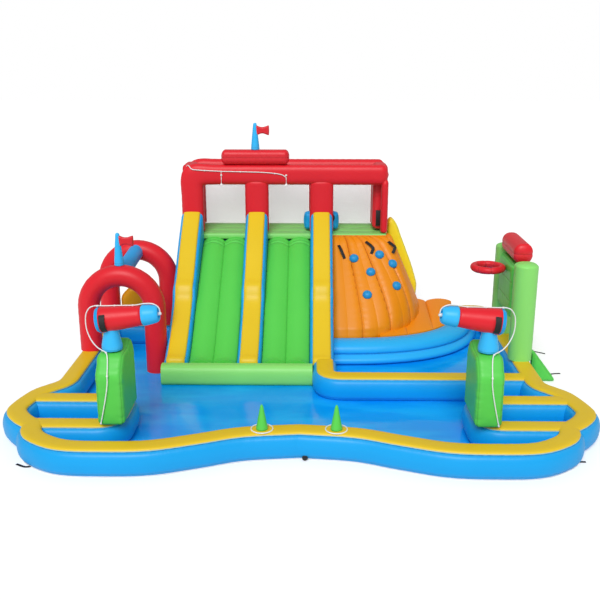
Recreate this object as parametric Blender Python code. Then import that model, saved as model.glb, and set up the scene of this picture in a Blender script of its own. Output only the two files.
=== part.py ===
"""Inflatable water park: two slides, a climbing wall, arches, a hoop and two water cannons in a walled pool.

Metres, +Z up. The origin is the centre of the footprint on the ground. The pool's front faces -Y.
"""
import bpy
import bmesh
import math
from mathutils import Matrix, Vector

# Overall sizes
FOOTPRINT_DEPTH = 5.18
LOBE_REACH = 2.99
GAP = 0.0003

# Pool floor sheet
FLOOR_THICK = 0.004
FLOOR_OVERHANG_SHARE = 0.31

# Pool wall: a blue tube with a padded yellow strip on top
WALL_WIDTH = 0.30
WALL_HEIGHT = 0.255
WALL_SECTION_SHARES = [(0.33, 0.0), (0.455, 0.14), (0.5, 0.40), (0.5, 0.62), (0.44, 0.88), (0.345, 1.0)]
CAP_HEIGHT = 0.030
CAP_SECTION_SHARES = [(0.5, 0.0), (0.5, 0.35), (0.3, 0.85), (0.0, 1.0)]
CAP_WIDTH_SHARE = 0.69
LOW_SHARE = 0.3

# Outline of the pool wall, right half, as shares of the lobe's reach and of the front reach
FRONT_RUN_SHARES = [
    (0.0, 0.832), (0.191, 0.863), (0.334, 0.928), (0.480, 0.988),
    (0.622, 1.0), (0.764, 0.988), (0.862, 0.918), (0.898, 0.850), (0.903, 0.805),
]
LOBE_RUN_SHARES = [
    (0.903, 0.805), (0.947, 0.756), (0.987, 0.691), (1.0, 0.625),
    (0.973, 0.478), (0.936, 0.412), (0.903, 0.363), (0.891, 0.313),
]
SIDE_SHARE = 0.891
OUTLINE_STEPS = 3

# Pocket walls under the cannon stands
STAND_X = 1.88
REAR_BAND_SHARE = 0.518
FRONT_BAND_SHARE = 0.785
CORNER_RADIUS = 0.20
CORNER_STEPS = 4
BACK_WALL_SETBACK = 0.465

# Slides
LANE_SPACING = 0.90
MIDDLE_WALL_X = -0.655
SLIDE_RUN = 1.855
SLIDE_WALL_WIDTH = 0.30
SLIDE_CAP_WIDTH = 0.23
SLIDE_CAP_THICK = 0.030
SLIDE_SHOULDER = 0.07
SLIDE_WALL_RISE = 1.73
SLIDE_WALL_SHARES = [
    (0.0, 0.150), (0.06, 0.170), (0.20, 0.262), (0.42, 0.435),
    (0.48, 0.545), (0.56, 0.600), (0.80, 0.830), (1.0, 1.0),
]
BED_RISE = 1.40
BED_SHARES = [(0.0, 0.18), (0.07, 0.195), (0.22, 0.31), (0.50, 0.58), (0.80, 0.86), (0.93, 0.97), (1.0, 1.0)]
BED_CHANNELS = 2
BED_CHANNEL_STEPS = 6
BED_CHANNEL_DEPTH = 0.035
CHANNEL_STEPS = 4
LANDING_DEPTH = 0.22
LANDING_HEIGHT = 0.245

# Partition wall of the climbing pool
PARTITION_X = 0.28
PARTITION_SETBACK = 0.52

# Tower
TOWER_DEPTH = 0.80
TOWER_RIGHT_X = 1.17
TOWER_SIDE_THICK = 0.20
PLATFORM_HEIGHT = 1.36
DECK_THICK = 0.09
TOWER_TOP = 2.40
BEAM_HEIGHT = 0.27
POST_WIDTH = 0.33
SLIM_POST_WIDTH = 0.08
BACK_POST_WIDTH = 0.28
BACK_POST_SHIFT = -0.04
FRAME_THICK = 0.20
FRAME_EDGE = 0.05
BASE_EDGE = 0.05
BASE_CHANNELS = 6
BASE_CHANNEL_DEPTH = 0.045
DECK_EDGE = 0.03
MESH_THICK = 0.006
DIVIDER_WIDTH = 0.50
DIVIDER_THICK = 0.16
DIVIDER_HEIGHT = 0.27
SOFT_EDGE = 0.04
ROUND_STEPS = 3
SIGN_WIDTH = 0.94
SIGN_EDGE = 0.067
SIGN_HEIGHT = 0.20
SIGN_THICK = 0.22
SIGN_CENTRE_X = -0.67

# Flags: a cone with a bow-shaped pennant at its tip
TOWER_FLAG_HEIGHT = 0.36
ARCH_FLAG_HEIGHT = 0.40
FLAG_BASE_RADIUS = 0.060
FLAG_TIP_RADIUS = 0.022
FLAG_SADDLE = 0.03
PENNANT_LENGTH = 0.19
PENNANT_HEIGHT = 0.12
PENNANT_WAIST_SHARE = 0.62
PENNANT_THICK = 0.05
CONE_SIDES = 12

# Climbing wall, its foot bumper, side ramp and wing
CLIMB_REACH_X = 1.30
CLIMB_REACH_Y = 1.39
CLIMB_BACKSET = 0.345
CLIMB_TOP_WIDTH = 0.83
CLIMB_TOP_LEDGE = 0.10
CLIMB_FOOT_SQUARENESS = 2.6
CLIMB_TOP_SQUARENESS = 8.0
CLIMB_TOP = 1.43
CLIMB_CHANNELS = 5
CLIMB_CHANNEL_DEPTH = 0.035
CLIMB_LEVEL_SHARES = [(0.0, 0.0), (0.20, 0.0), (0.27, 0.04), (0.50, 0.34), (0.75, 0.67), (1.0, 1.0)]
HOLD_RADIUS = 0.062
HOLD_SINK_SHARE = 0.25
HOLD_SIDES = 8
HOLD_STEPS = 6
HOLD_SHARES = [(0.30, 0.82), (0.58, 0.85), (0.41, 0.71), (0.63, 0.77), (0.30, 0.53), (0.55, 0.59)]
FOOT_REACH_X = 1.75
FOOT_SECTION = [(0.0, 0.0), (0.27, 0.0), (0.33, 0.03), (0.33, 0.08), (0.265, 0.125),
                (0.275, 0.17), (0.25, 0.235), (0.16, 0.275), (0.0, 0.285)]
FOOT_STEPS = 16
FOOT_TAIL = 0.05
RAMP_START_X = 1.02
RAMP_RISE = 0.17
RAMP_CHANNELS = 3
RAMP_CHANNEL_DEPTH = 0.04
RAMP_STEPS = 15
WING_THICK = 0.20
WING_TOP = 1.65
WING_REACH = 0.49
WING_SHARES = [(0.0, 0.0), (0.90, 0.0), (0.96, 0.14), (1.0, 0.28), (0.82, 0.49),
               (0.53, 0.75), (0.30, 0.93), (0.12, 1.0), (0.0, 0.955)]

# Arches
ARCH_TUBE = 0.27
ARCH_SPAN = 0.82
ARCH_FRONT_Y = 0.25
ARCH_BACK_Y = 1.335
ARCH_FRONT_TOP = 1.38
ARCH_BACK_TOP = 1.45
ARCH_STEPS = 12
TUBE_SIDES = 12
RIDGE_TUBE = 0.20
RIDGE_SETBACK = 0.01
ARCH_PANEL_THICK = 0.12
ARCH_PANEL_HEIGHT = 0.53
ARCH_PANEL_CROWN = 0.14

# Basketball goal
HOOP_POST = 0.28
HOOP_FRONT_Y = -0.015
HOOP_SPACING = 1.05
HOOP_POST_TOP = 1.50
BACKBOARD_THICK = 0.20
BACKBOARD_FACE = 0.125
BACKBOARD_BOTTOM = 0.72
BACKBOARD_TOP = 1.43
HOOP_RADIUS = 0.175
HOOP_TUBE = 0.088
HOOP_HEIGHT = 1.30
ROLL_HEIGHT = 0.25
ROLL_WIDTH = 0.23
ROLL_EDGE = 0.077
DOME_HEIGHT = 0.05
DOME_SHARE = 0.72
BRACE_REACH = 0.31
BRACE_HEIGHT = 0.36
BRACE_THICK = 0.14
BRACE_TAB = 0.05

# Water cannons
STAND_WIDTH = 0.275
STAND_LENGTH = 0.67
STAND_RISE = 0.79
STAND_PROFILE_SHARES = [(0.0, 0.0), (0.0, 0.70), (0.22, 0.93), (0.60, 0.93), (0.68, 0.955),
                        (0.77, 1.0), (0.88, 0.96), (1.0, 0.80), (1.0, 0.0)]
NECK_SETBACK = 0.27
NECK_BASE_RADIUS = 0.105
NECK_TOP_RADIUS = 0.080
BARREL_RISE = 0.305
BARREL_LENGTH = 0.48
BARREL_END_RADIUS = 0.108
BARREL_END_ROUNDING = 0.045
BARREL_REAR_RADIUS = 0.135
BARREL_FRONT_RADIUS = 0.100
BARREL_REAR_REACH = 0.155
BARREL_TILT_DEG = 6.5
BARREL_SIDES = 14
NOZZLE_LENGTH = 0.165
NOZZLE_TAPER = 0.055
NOZZLE_RADIUS = 0.106
NOZZLE_MOUTH_RADIUS = 0.075

# Cones and toss rings on the front wall
MARKER_X = 0.37
MARKER_RADIUS = 0.060
MARKER_TIP_RADIUS = 0.010
MARKER_HEIGHT = 0.27
RING_RADIUS = 0.108
RING_TUBE = 0.012
RING_STEPS = 24
RING_SIDES = 8

# Water hoses
HOSE = 0.012

# Places and sizes that follow from the values above
FRONT_REACH = FOOTPRINT_DEPTH / 2 - WALL_WIDTH / 2
BACK_Y = FOOTPRINT_DEPTH / 2
SIDE_X = LOBE_REACH * SIDE_SHARE
BASE_Z = FLOOR_THICK + GAP
WALL_TOP = BASE_Z + WALL_HEIGHT
CAP_WIDTH = WALL_WIDTH * CAP_WIDTH_SHARE
CAP_TOP = WALL_TOP + GAP + CAP_HEIGHT
TOWER_FRONT_Y = BACK_Y - TOWER_DEPTH
SLIDE_FOOT_Y = TOWER_FRONT_Y - SLIDE_RUN
LEFT_WALL_X = MIDDLE_WALL_X - LANE_SPACING
RIGHT_WALL_X = MIDDLE_WALL_X + LANE_SPACING
SLIDE_LEFT_SIDE = LEFT_WALL_X - SLIDE_WALL_WIDTH / 2
SLIDE_RIGHT_SIDE = RIGHT_WALL_X + SLIDE_WALL_WIDTH / 2
PARTITION_Y = SLIDE_FOOT_Y - PARTITION_SETBACK
REAR_BAND_Y = -FRONT_REACH * REAR_BAND_SHARE
FRONT_BAND_Y = -FRONT_REACH * FRONT_BAND_SHARE
DECK_TOP = PLATFORM_HEIGHT + GAP + DECK_THICK
BACK_WALL_Y = BACK_Y - BACK_WALL_SETBACK
BACK_FACE_Y = BACK_WALL_Y - WALL_WIDTH / 2 - GAP
CLIMB_CENTRE_Y = TOWER_FRONT_Y + CLIMB_BACKSET
CLIMB_LEFT_X = SLIDE_RIGHT_SIDE + GAP
POST_XS = [LEFT_WALL_X, MIDDLE_WALL_X, RIGHT_WALL_X]


def clear_scene():
    for old in list(bpy.data.objects):
        bpy.data.objects.remove(old, do_unlink=True)


def material(name, colour, roughness):
    mat = bpy.data.materials.new(name)
    mat.use_nodes = True
    shader = mat.node_tree.nodes["Principled BSDF"]
    shader.inputs["Base Color"].default_value = (*colour, 1.0)
    shader.inputs["Roughness"].default_value = roughness
    shader.inputs["Metallic"].default_value = 0.0
    mat.diffuse_color = (*colour, 1.0)
    return mat


clear_scene()
BLUE = material("blue_vinyl", (0.02, 0.32, 0.85), 0.4)
YELLOW = material("yellow_vinyl", (0.86, 0.60, 0.03), 0.4)
GREEN = material("green_vinyl", (0.10, 0.55, 0.06), 0.4)
PALE_GREEN = material("pale_green_vinyl", (0.30, 0.65, 0.20), 0.45)
RED = material("red_vinyl", (0.72, 0.01, 0.02), 0.4)
ORANGE = material("orange_vinyl", (0.88, 0.36, 0.01), 0.4)
GREY = material("grey_mesh", (0.62, 0.62, 0.62), 0.7)
WHITE = material("white_plastic", (0.85, 0.85, 0.85), 0.3)


def finish(name, bm, mat, smooth_deg=50.0):
    """Turns a bmesh into a named object with its faces pointing out."""
    bmesh.ops.recalc_face_normals(bm, faces=bm.faces)
    mesh = bpy.data.meshes.new(name)
    bm.to_mesh(mesh)
    bm.free()
    mesh.shade_smooth()
    mesh.set_sharp_from_angle(angle=math.radians(smooth_deg))
    obj = bpy.data.objects.new(name, mesh)
    bpy.context.scene.collection.objects.link(obj)
    obj.data.materials.append(mat)
    return obj


def loft(name, rings, mat, closed=False):
    """Skins a row of rings that have the same number of points, with flat ends unless closed."""
    bm = bmesh.new()
    rows = []
    for ring in rings:
        rows.append([bm.verts.new(point) for point in ring])
    pairs = list(zip(rows, rows[1:]))
    if closed:
        pairs.append((rows[-1], rows[0]))
    for first, second in pairs:
        count = len(first)
        for i in range(count):
            j = (i + 1) % count
            bm.faces.new((first[i], first[j], second[j], second[i]))
    if not closed:
        bm.faces.new(rows[0])
        bm.faces.new(rows[-1])
    return finish(name, bm, mat)


def slab(name, outline, thick, place, mat, edge=0.0, segments=2):
    """An outline in X and Z, thick along Y about its middle, with rounded edges."""
    bm = bmesh.new()
    front = [bm.verts.new((x, -thick / 2, z)) for x, z in outline]
    face = bm.faces.new(front)
    side = bmesh.ops.extrude_face_region(bm, geom=[face])
    moved = [item for item in side["geom"] if isinstance(item, bmesh.types.BMVert)]
    bmesh.ops.translate(bm, verts=moved, vec=(0, thick, 0))
    if edge:
        bmesh.ops.recalc_face_normals(bm, faces=bm.faces)
        sharp = [e for e in bm.edges if e.is_convex and e.calc_face_angle(0) > math.radians(30)]
        bmesh.ops.bevel(bm, geom=sharp, offset=edge, segments=segments, profile=0.5, affect="EDGES",
                        clamp_overlap=True)
    obj = finish(name, bm, mat)
    obj.matrix_world = place
    return obj


def at(x, y, z, turn_deg=0.0):
    """A place in the park, turned about the vertical."""
    return Matrix.Translation((x, y, z)) @ Matrix.Rotation(math.radians(turn_deg), 4, "Z")


def box_outline(width, height):
    return [(-width / 2, 0.0), (width / 2, 0.0), (width / 2, height), (-width / 2, height)]


def turned(name, profile, sides, mat, place):
    """Circles stacked along Z: profile holds a radius and a height for each."""
    rings = []
    for radius, height in profile:
        ring = []
        for i in range(sides):
            angle = 2 * math.pi * i / sides
            ring.append(Vector((radius * math.cos(angle), radius * math.sin(angle), height)))
        rings.append(ring)
    obj = loft(name, rings, mat)
    obj.matrix_world = place
    return obj


def smooth_run(points, steps):
    """A smooth curve through hand-chosen points, sampled evenly in each span."""
    pts = [Vector(p) for p in points]
    pts = [2 * pts[0] - pts[1]] + pts + [2 * pts[-1] - pts[-2]]
    out = []
    for a, b, c, d in zip(pts, pts[1:], pts[2:], pts[3:]):
        for i in range(steps):
            t = i / steps
            out.append(0.5 * (2 * b + (c - a) * t + (2 * a - 5 * b + 4 * c - d) * t ** 2
                              + (3 * b - a - 3 * c + d) * t ** 3))
    out.append(pts[-2])
    return out


def rounded_path(points, radius):
    """A path of straight runs whose square corners are arcs."""
    pts = [Vector(p) for p in points]
    out = [pts[0]]
    for before, corner, after in zip(pts, pts[1:], pts[2:]):
        start = (before - corner).normalized()
        end = (after - corner).normalized()
        centre = corner + (start + end) * radius
        for i in range(CORNER_STEPS + 1):
            angle = math.pi / 2 * i / CORNER_STEPS
            out.append(centre - end * radius * math.cos(angle) - start * radius * math.sin(angle))
    out.append(pts[-1])
    return out


def directions(path, before=None, after=None):
    """The bisecting direction and the mitre at each point of a path on the ground."""
    out = []
    last = len(path) - 1
    for i in range(len(path)):
        into = (path[i] - path[i - 1]).normalized() if i else before
        away = (path[i + 1] - path[i]).normalized() if i < last else after
        into = into or away
        away = away or into
        along = (into + away).normalized()
        out.append((along, 1 / along.dot(into)))
    return out


def sweep(name, path, section, mat, base, before=None, after=None):
    """Sweeps an upright section, in offset to the right and height, along a path on the ground."""
    rings = []
    for point, (along, mitre) in zip(path, directions(path, before, after)):
        across = Vector((along.y, -along.x)) * mitre
        rings.append([Vector((*(point + across * offset), base + height)) for offset, height in section])
    return loft(name, rings, mat)


def mirrored_section(shares, width, height, grow=0.0):
    """A section from its right half, which may be grown on every side to make a cutter."""
    right = [(width * s + (grow if s else 0.0), height * t + (grow if t > LOW_SHARE else -grow))
             for s, t in shares]
    left = [(-x, z) for x, z in reversed(right) if x > 0]
    return right + left


def wall_section(grow=0.0):
    return mirrored_section(WALL_SECTION_SHARES, WALL_WIDTH, WALL_HEIGHT, grow)


def cap_section(grow=0.0):
    return mirrored_section(CAP_SECTION_SHARES, CAP_WIDTH, CAP_HEIGHT, grow)


def boolean(obj, other, operation):
    """Applies an exact Boolean to an object and removes the other object."""
    mod = obj.modifiers.new(operation.lower(), "BOOLEAN")
    mod.operation = operation
    mod.solver = "EXACT"
    mod.object = other
    graph = bpy.context.evaluated_depsgraph_get()
    mesh = bpy.data.meshes.new_from_object(obj.evaluated_get(graph))
    obj.modifiers.clear()
    obj.data = mesh
    bpy.data.objects.remove(other, do_unlink=True)
    return obj


def crossing(path, x=None, y=None):
    """The other coordinate where a path first crosses a given x or y."""
    axis, value = (0, x) if y is None else (1, y)
    for a, b in zip(path, path[1:]):
        if min(a[axis], b[axis]) <= value <= max(a[axis], b[axis]) and a[axis] != b[axis]:
            t = (value - a[axis]) / (b[axis] - a[axis])
            return (a + (b - a) * t)[1 - axis]
    raise ValueError("the path does not cross there")


def flat_radius(radius, sides):
    """The corner radius of a polygon whose flats lie on the given radius."""
    return radius / math.cos(math.pi / sides)


def arch_rings(points, radius, sides, normal):
    """Circles about a curved line in one plane, whose normal is given."""
    radius = flat_radius(radius, sides)
    rings = []
    last = len(points) - 1
    for i, point in enumerate(points):
        along = (points[min(i + 1, last)] - points[max(i - 1, 0)]).normalized()
        side = along.cross(normal)
        ring = []
        for k in range(sides):
            angle = 2 * math.pi * (k + 0.5) / sides
            ring.append(point + side * radius * math.cos(angle) + normal * radius * math.sin(angle))
        rings.append(ring)
    return rings


# Pool walls: centre lines first
def half_outline(sign):
    front = [(sign * LOBE_REACH * x, -FRONT_REACH * y) for x, y in FRONT_RUN_SHARES]
    lobe = [(sign * LOBE_REACH * x, -FRONT_REACH * y) for x, y in LOBE_RUN_SHARES]
    return smooth_run(front, OUTLINE_STEPS), smooth_run(lobe, OUTLINE_STEPS)


def back_corner(sign, back_y, end_x):
    """The turn from the straight side into the back wall, which ends at end_x."""
    start = (sign * SIDE_X, back_y - WALL_WIDTH)
    return rounded_path([start, (sign * SIDE_X, back_y), (end_x, back_y)], CORNER_RADIUS)


FRONT_LEFT, LOBE_LEFT = half_outline(-1)
FRONT_RIGHT, LOBE_RIGHT = half_outline(1)
FRONT_PATH = list(reversed(FRONT_LEFT)) + FRONT_RIGHT[1:]
LEFT_PATH = list(reversed(back_corner(-1, ARCH_BACK_Y, SLIDE_LEFT_SIDE - GAP))) + list(reversed(LOBE_LEFT))
RIGHT_PATH = LOBE_RIGHT + back_corner(1, BACK_WALL_Y, TOWER_RIGHT_X + GAP)
WING_END_X = TOWER_RIGHT_X + GAP + WING_REACH
CAP_PATH = LEFT_PATH[:-1] + FRONT_PATH + LOBE_RIGHT[1:] + back_corner(1, BACK_WALL_Y, WING_END_X + GAP)


def trimmed(path, at_start, at_end):
    """A path whose ends are drawn back by half of the gap where it meets the next wall."""
    out = list(path)
    if at_start:
        out[0] = out[0] + (out[1] - out[0]).normalized() * GAP / 2
    if at_end:
        out[-1] = out[-1] + (out[-2] - out[-1]).normalized() * GAP / 2
    return out


def heading(path, start):
    a, b = (path[0], path[1]) if start else (path[-2], path[-1])
    return (b - a).normalized()


RIM_WALLS = {
    "front": (FRONT_PATH, heading(LEFT_PATH, False), heading(LOBE_RIGHT, True)),
    "left": (LEFT_PATH, None, heading(FRONT_PATH, True)),
    "right": (RIGHT_PATH, heading(FRONT_PATH, False), None),
}


def rim_wall(name, side, grow=0.0):
    """One stretch of the wall round the pool, or a slightly larger cutter of its shape."""
    path, before, after = RIM_WALLS[side]
    if not grow:
        path = trimmed(path, before is not None, after is not None)
    return sweep(name, path, wall_section(grow), BLUE, BASE_Z, before, after)


def pool_cap(name, path, grow=0.0):
    return sweep(name, path, cap_section(grow), YELLOW, WALL_TOP + GAP)


def pool():
    """The floor sheet, the wall round the pool and its padded yellow strip."""
    reach = WALL_WIDTH * FLOOR_OVERHANG_SHARE
    edge = []
    rim = FRONT_PATH + LOBE_RIGHT[1:] + back_corner(1, BACK_WALL_Y, TOWER_RIGHT_X)[:-1]
    for point, (along, mitre) in zip(rim, directions(rim)):
        edge.append(point + Vector((along.y, -along.x)) * mitre * reach)
    edge.append(Vector((TOWER_RIGHT_X, BACK_WALL_Y + reach)))
    edge.append(Vector((TOWER_RIGHT_X, BACK_Y - BASE_EDGE)))
    edge.append(Vector((SLIDE_LEFT_SIDE, BACK_Y - BASE_EDGE)))
    edge.append(Vector((SLIDE_LEFT_SIDE, ARCH_BACK_Y + reach)))
    rim = LEFT_PATH[1:-1]
    for point, (along, mitre) in zip(rim, directions(rim)):
        edge.append(point + Vector((along.y, -along.x)) * mitre * reach)
    loft("pool_floor", [[Vector((*p, 0.0)) for p in edge], [Vector((*p, FLOOR_THICK)) for p in edge]], BLUE)
    for side in RIM_WALLS:
        rim_wall("wall_" + side, side)
    pool_cap("wall_cap", CAP_PATH)


def branch(name, path, near_walls):
    """A wall inside the pool with its cap, whose ends fit against the walls that it meets."""
    wall = sweep(name, path, wall_section(), BLUE, BASE_Z)
    cap = pool_cap(name + "_cap", path)
    for near in near_walls:
        boolean(wall, rim_wall("cutter", near, GAP), "DIFFERENCE")
    boolean(cap, pool_cap("cutter", CAP_PATH, GAP), "DIFFERENCE")


def inner_walls():
    """The pocket walls under the two cannon stands and the climbing pool's partition."""
    for side, sign, lobe in (("left", -1, LOBE_LEFT), ("right", 1, LOBE_RIGHT)):
        rear = (crossing(lobe, y=REAR_BAND_Y), REAR_BAND_Y)
        front = (crossing(lobe, y=FRONT_BAND_Y), FRONT_BAND_Y)
        path = rounded_path([rear, (sign * STAND_X, REAR_BAND_Y), (sign * STAND_X, FRONT_BAND_Y), front],
                            CORNER_RADIUS)
        branch("pocket_" + side, path, [side, "front"])
    start = (PARTITION_X, SLIDE_FOOT_Y - GAP)
    path = rounded_path([start, (PARTITION_X, PARTITION_Y), (SIDE_X, PARTITION_Y)], CORNER_RADIUS)
    branch("partition", path, ["right"])


def slide_wall(name, x):
    """A side wall of the slides with its yellow cap, from the slide's foot to the tower."""
    half = SLIDE_WALL_WIDTH / 2
    cap_half = SLIDE_CAP_WIDTH / 2
    wall, cap = [], []
    for run, rise in SLIDE_WALL_SHARES:
        y = SLIDE_FOOT_Y + (SLIDE_RUN - GAP) * run
        top = SLIDE_WALL_RISE * rise
        corners = [(half, BASE_Z), (half, top - SLIDE_SHOULDER), (cap_half, top)]
        wall.append([Vector((x + dx, y, z)) for dx, z in corners]
                    + [Vector((x - dx, y, z)) for dx, z in reversed(corners)])
        section = mirrored_section(CAP_SECTION_SHARES, SLIDE_CAP_WIDTH, SLIDE_CAP_THICK)
        cap.append([Vector((x + dx, y, top + 2 * GAP + dz)) for dx, dz in section])
    loft(name, wall, BLUE)
    loft(name + "_cap", cap, YELLOW)


def slide_bed(name, x):
    """A sliding lane with rounded channels that run downhill."""
    width = LANE_SPACING - SLIDE_WALL_WIDTH - 2 * GAP
    count = BED_CHANNELS * BED_CHANNEL_STEPS
    rings = []
    for run, rise in BED_SHARES:
        y = SLIDE_FOOT_Y + (SLIDE_RUN - GAP) * run
        ring = [Vector((x + width / 2, y, BASE_Z)), Vector((x - width / 2, y, BASE_Z))]
        for i in range(count + 1):
            crown = abs(math.sin(math.pi * BED_CHANNELS * i / count))
            top = BED_RISE * rise - BED_CHANNEL_DEPTH * (1 - crown)
            ring.append(Vector((x - width / 2 + width * i / count, y, top)))
        rings.append(ring)
    loft(name, rings, GREEN)


def slides():
    """Two lanes, three side walls and the landing roll across their feet."""
    for i, side in enumerate(("left", "middle", "right")):
        slide_wall("slide_wall_" + side, LEFT_WALL_X + LANE_SPACING * i)
    for i, side in enumerate(("left", "right")):
        slide_bed("slide_bed_" + side, LEFT_WALL_X + LANE_SPACING * (i + 0.5))
    back_y = SLIDE_FOOT_Y - GAP
    section = mirrored_section(WALL_SECTION_SHARES, LANDING_DEPTH, LANDING_HEIGHT)
    rings = []
    for x in (SLIDE_LEFT_SIDE, PARTITION_X - WALL_WIDTH / 2 - GAP):
        rings.append([Vector((x, back_y - LANDING_DEPTH / 2 + dy, BASE_Z + dz)) for dy, dz in section])
    loft("landing_roll", rings, GREEN)


def comb_outline(left, right, posts, base, beam_bottom, top):
    """A beam with posts that hang from it: posts holds each one's left and right edge."""
    outline = [(left, top), (right, top)]
    for low, high in reversed(posts):
        if high < right:
            outline.append((high, beam_bottom))
        outline += [(high, base), (low, base)]
        if low > left:
            outline.append((low, beam_bottom))
    return outline


def padded_block(name, left, right, height):
    """The tower's block: its back is drawn in at seams that run upwards, and its rims are drawn in too."""
    count = BASE_CHANNELS * CHANNEL_STEPS
    rings = []
    for level, inset in ((0.0, BASE_EDGE), (BASE_EDGE, 0.0), (height - BASE_EDGE, 0.0), (height, BASE_EDGE)):
        z = BASE_Z + level
        start, width = left + inset, right - left - 2 * inset
        ring = [Vector((start + width, TOWER_FRONT_Y, z)), Vector((start, TOWER_FRONT_Y, z))]
        for i in range(count + 1):
            crown = abs(math.sin(math.pi * BASE_CHANNELS * i / count))
            y = BACK_Y - inset - BASE_CHANNEL_DEPTH * (1 - crown)
            ring.append(Vector((start + width * i / count, y, z)))
        rings.append(ring)
    loft(name, rings, BLUE)


def tower():
    """The platform block, its red frame, the mesh windows, the blue divider and the sign cushion."""
    left, right = SLIDE_LEFT_SIDE, TOWER_RIGHT_X
    width = right - left
    middle = (left + right) / 2
    depth_y = TOWER_FRONT_Y + TOWER_DEPTH / 2
    padded_block("tower_base", left, right, PLATFORM_HEIGHT - BASE_Z)
    slab("platform_deck", box_outline(width, DECK_THICK), TOWER_DEPTH,
         at(middle, depth_y, PLATFORM_HEIGHT + GAP), PALE_GREEN, DECK_EDGE)
    foot = DECK_TOP + GAP
    beam = TOWER_TOP - BEAM_HEIGHT
    front_posts = [(x - POST_WIDTH / 2, x + POST_WIDTH / 2) for x in POST_XS]
    front_posts[0] = (left, front_posts[0][1])
    front_posts.append((right - SLIM_POST_WIDTH, right))
    slab("tower_front", comb_outline(left, right, front_posts, foot, beam, TOWER_TOP), FRAME_THICK,
         at(0, TOWER_FRONT_Y + FRAME_THICK / 2, 0), RED, FRAME_EDGE / 2)
    half = BACK_POST_WIDTH / 2
    back_posts = [(x + BACK_POST_SHIFT - half, x + BACK_POST_SHIFT + half) for x in POST_XS[1:]]
    back_posts = [(left, left + TOWER_SIDE_THICK)] + back_posts + [(right - TOWER_SIDE_THICK, right)]
    back_y = BACK_Y - FRAME_THICK / 2
    slab("tower_back", comb_outline(left, right, back_posts, foot, beam, TOWER_TOP), FRAME_THICK,
         at(0, back_y, 0), RED, FRAME_EDGE)
    side_depth = TOWER_DEPTH - 2 * FRAME_THICK - 2 * GAP
    for side, x in (("left", left + TOWER_SIDE_THICK / 2), ("right", right - TOWER_SIDE_THICK / 2)):
        slab("tower_side_" + side, box_outline(side_depth, TOWER_TOP - foot), TOWER_SIDE_THICK,
             at(x, depth_y, foot, 90), RED, FRAME_EDGE)
    for side, first, second in zip(("left", "middle", "right"), back_posts, back_posts[1:]):
        span = second[0] - first[1] - 2 * GAP
        slab("mesh_window_" + side, box_outline(span, beam - foot - 2 * GAP), MESH_THICK,
             at((first[1] + second[0]) / 2, back_y, foot + GAP), GREY)
    slab("platform_divider", box_outline(DIVIDER_WIDTH, DIVIDER_HEIGHT), DIVIDER_THICK,
         at(RIGHT_WALL_X, TOWER_FRONT_Y + FRAME_THICK + GAP + DIVIDER_THICK / 2, foot), BLUE, SOFT_EDGE)
    slab("sign_cushion", box_outline(SIGN_WIDTH, SIGN_HEIGHT), SIGN_THICK,
         at(SIGN_CENTRE_X, TOWER_FRONT_Y + SIGN_THICK / 2, TOWER_TOP + GAP), RED, SIGN_EDGE, ROUND_STEPS)


def flag(name, x, y, base, height, sunk=0.0):
    """A blue cone with a red pennant, pinched in the middle, on the right of its tip."""
    cone = turned(name, [(FLAG_BASE_RADIUS, -sunk), (FLAG_TIP_RADIUS, height)], CONE_SIDES, BLUE,
                  at(x, y, base))
    top = height - FLAG_TIP_RADIUS
    low = top - PENNANT_HEIGHT
    middle = (top + low) / 2
    waist = PENNANT_HEIGHT * PENNANT_WAIST_SHARE / 2
    outline = [(0.0, low), (PENNANT_LENGTH / 2, middle - waist), (PENNANT_LENGTH, low),
               (PENNANT_LENGTH, top), (PENNANT_LENGTH / 2, middle + waist), (0.0, top)]
    return boolean(cone, slab("pennant", outline, PENNANT_THICK, at(x, y, base), RED), "UNION")


def climb_point(share, level, inset=0.0):
    """A point on the climbing wall's face: share runs from its left edge round to its right."""
    retreat = level[1]
    reach_x = CLIMB_REACH_X + (CLIMB_TOP_WIDTH - CLIMB_REACH_X) * retreat - inset
    reach_y = CLIMB_REACH_Y + (CLIMB_BACKSET + CLIMB_TOP_LEDGE - CLIMB_REACH_Y) * retreat - inset
    power = CLIMB_FOOT_SQUARENESS + (CLIMB_TOP_SQUARENESS - CLIMB_FOOT_SQUARENESS) * retreat
    return curve_point(share, reach_x, reach_y, power, CLIMB_TOP * level[0])


def curve_point(share, reach_x, reach_y, power, height):
    """A point on a squared-off quarter ellipse that ends at the back wall's face."""
    last_y = CLIMB_CENTRE_Y - BACK_FACE_Y
    last_x = reach_x * (1 - (last_y / reach_y) ** power) ** (1 / power)
    angle = math.atan2(last_x, last_y) * share
    side, ahead = math.sin(angle), math.cos(angle)
    radius = ((side / reach_x) ** power + (ahead / reach_y) ** power) ** (-1 / power)
    return Vector((CLIMB_LEFT_X + radius * side, CLIMB_CENTRE_Y - radius * ahead, height))


def climbing_rings(grow):
    """The climbing wall's outline at each level, with padded channels that run uphill."""
    count = CLIMB_CHANNELS * CHANNEL_STEPS
    rings = []
    for level in CLIMB_LEVEL_SHARES:
        ring = []
        for i in range(count + 1):
            crown = abs(math.sin(math.pi * CLIMB_CHANNELS * i / count))
            depth = CLIMB_CHANNEL_DEPTH * (1 - crown) if 0 < i < count else 0.0
            ring.append(climb_point(i / count, level, depth - grow))
        z = ring[0].z
        ring.append(Vector((TOWER_RIGHT_X + GAP, BACK_FACE_Y, z)))
        ring.append(Vector((TOWER_RIGHT_X + GAP, TOWER_FRONT_Y - GAP, z)))
        ring.append(Vector((CLIMB_LEFT_X, TOWER_FRONT_Y - GAP, z)))
        for point in ring:
            point.z = max(point.z, BASE_Z)
        rings.append(ring)
    return rings


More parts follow.
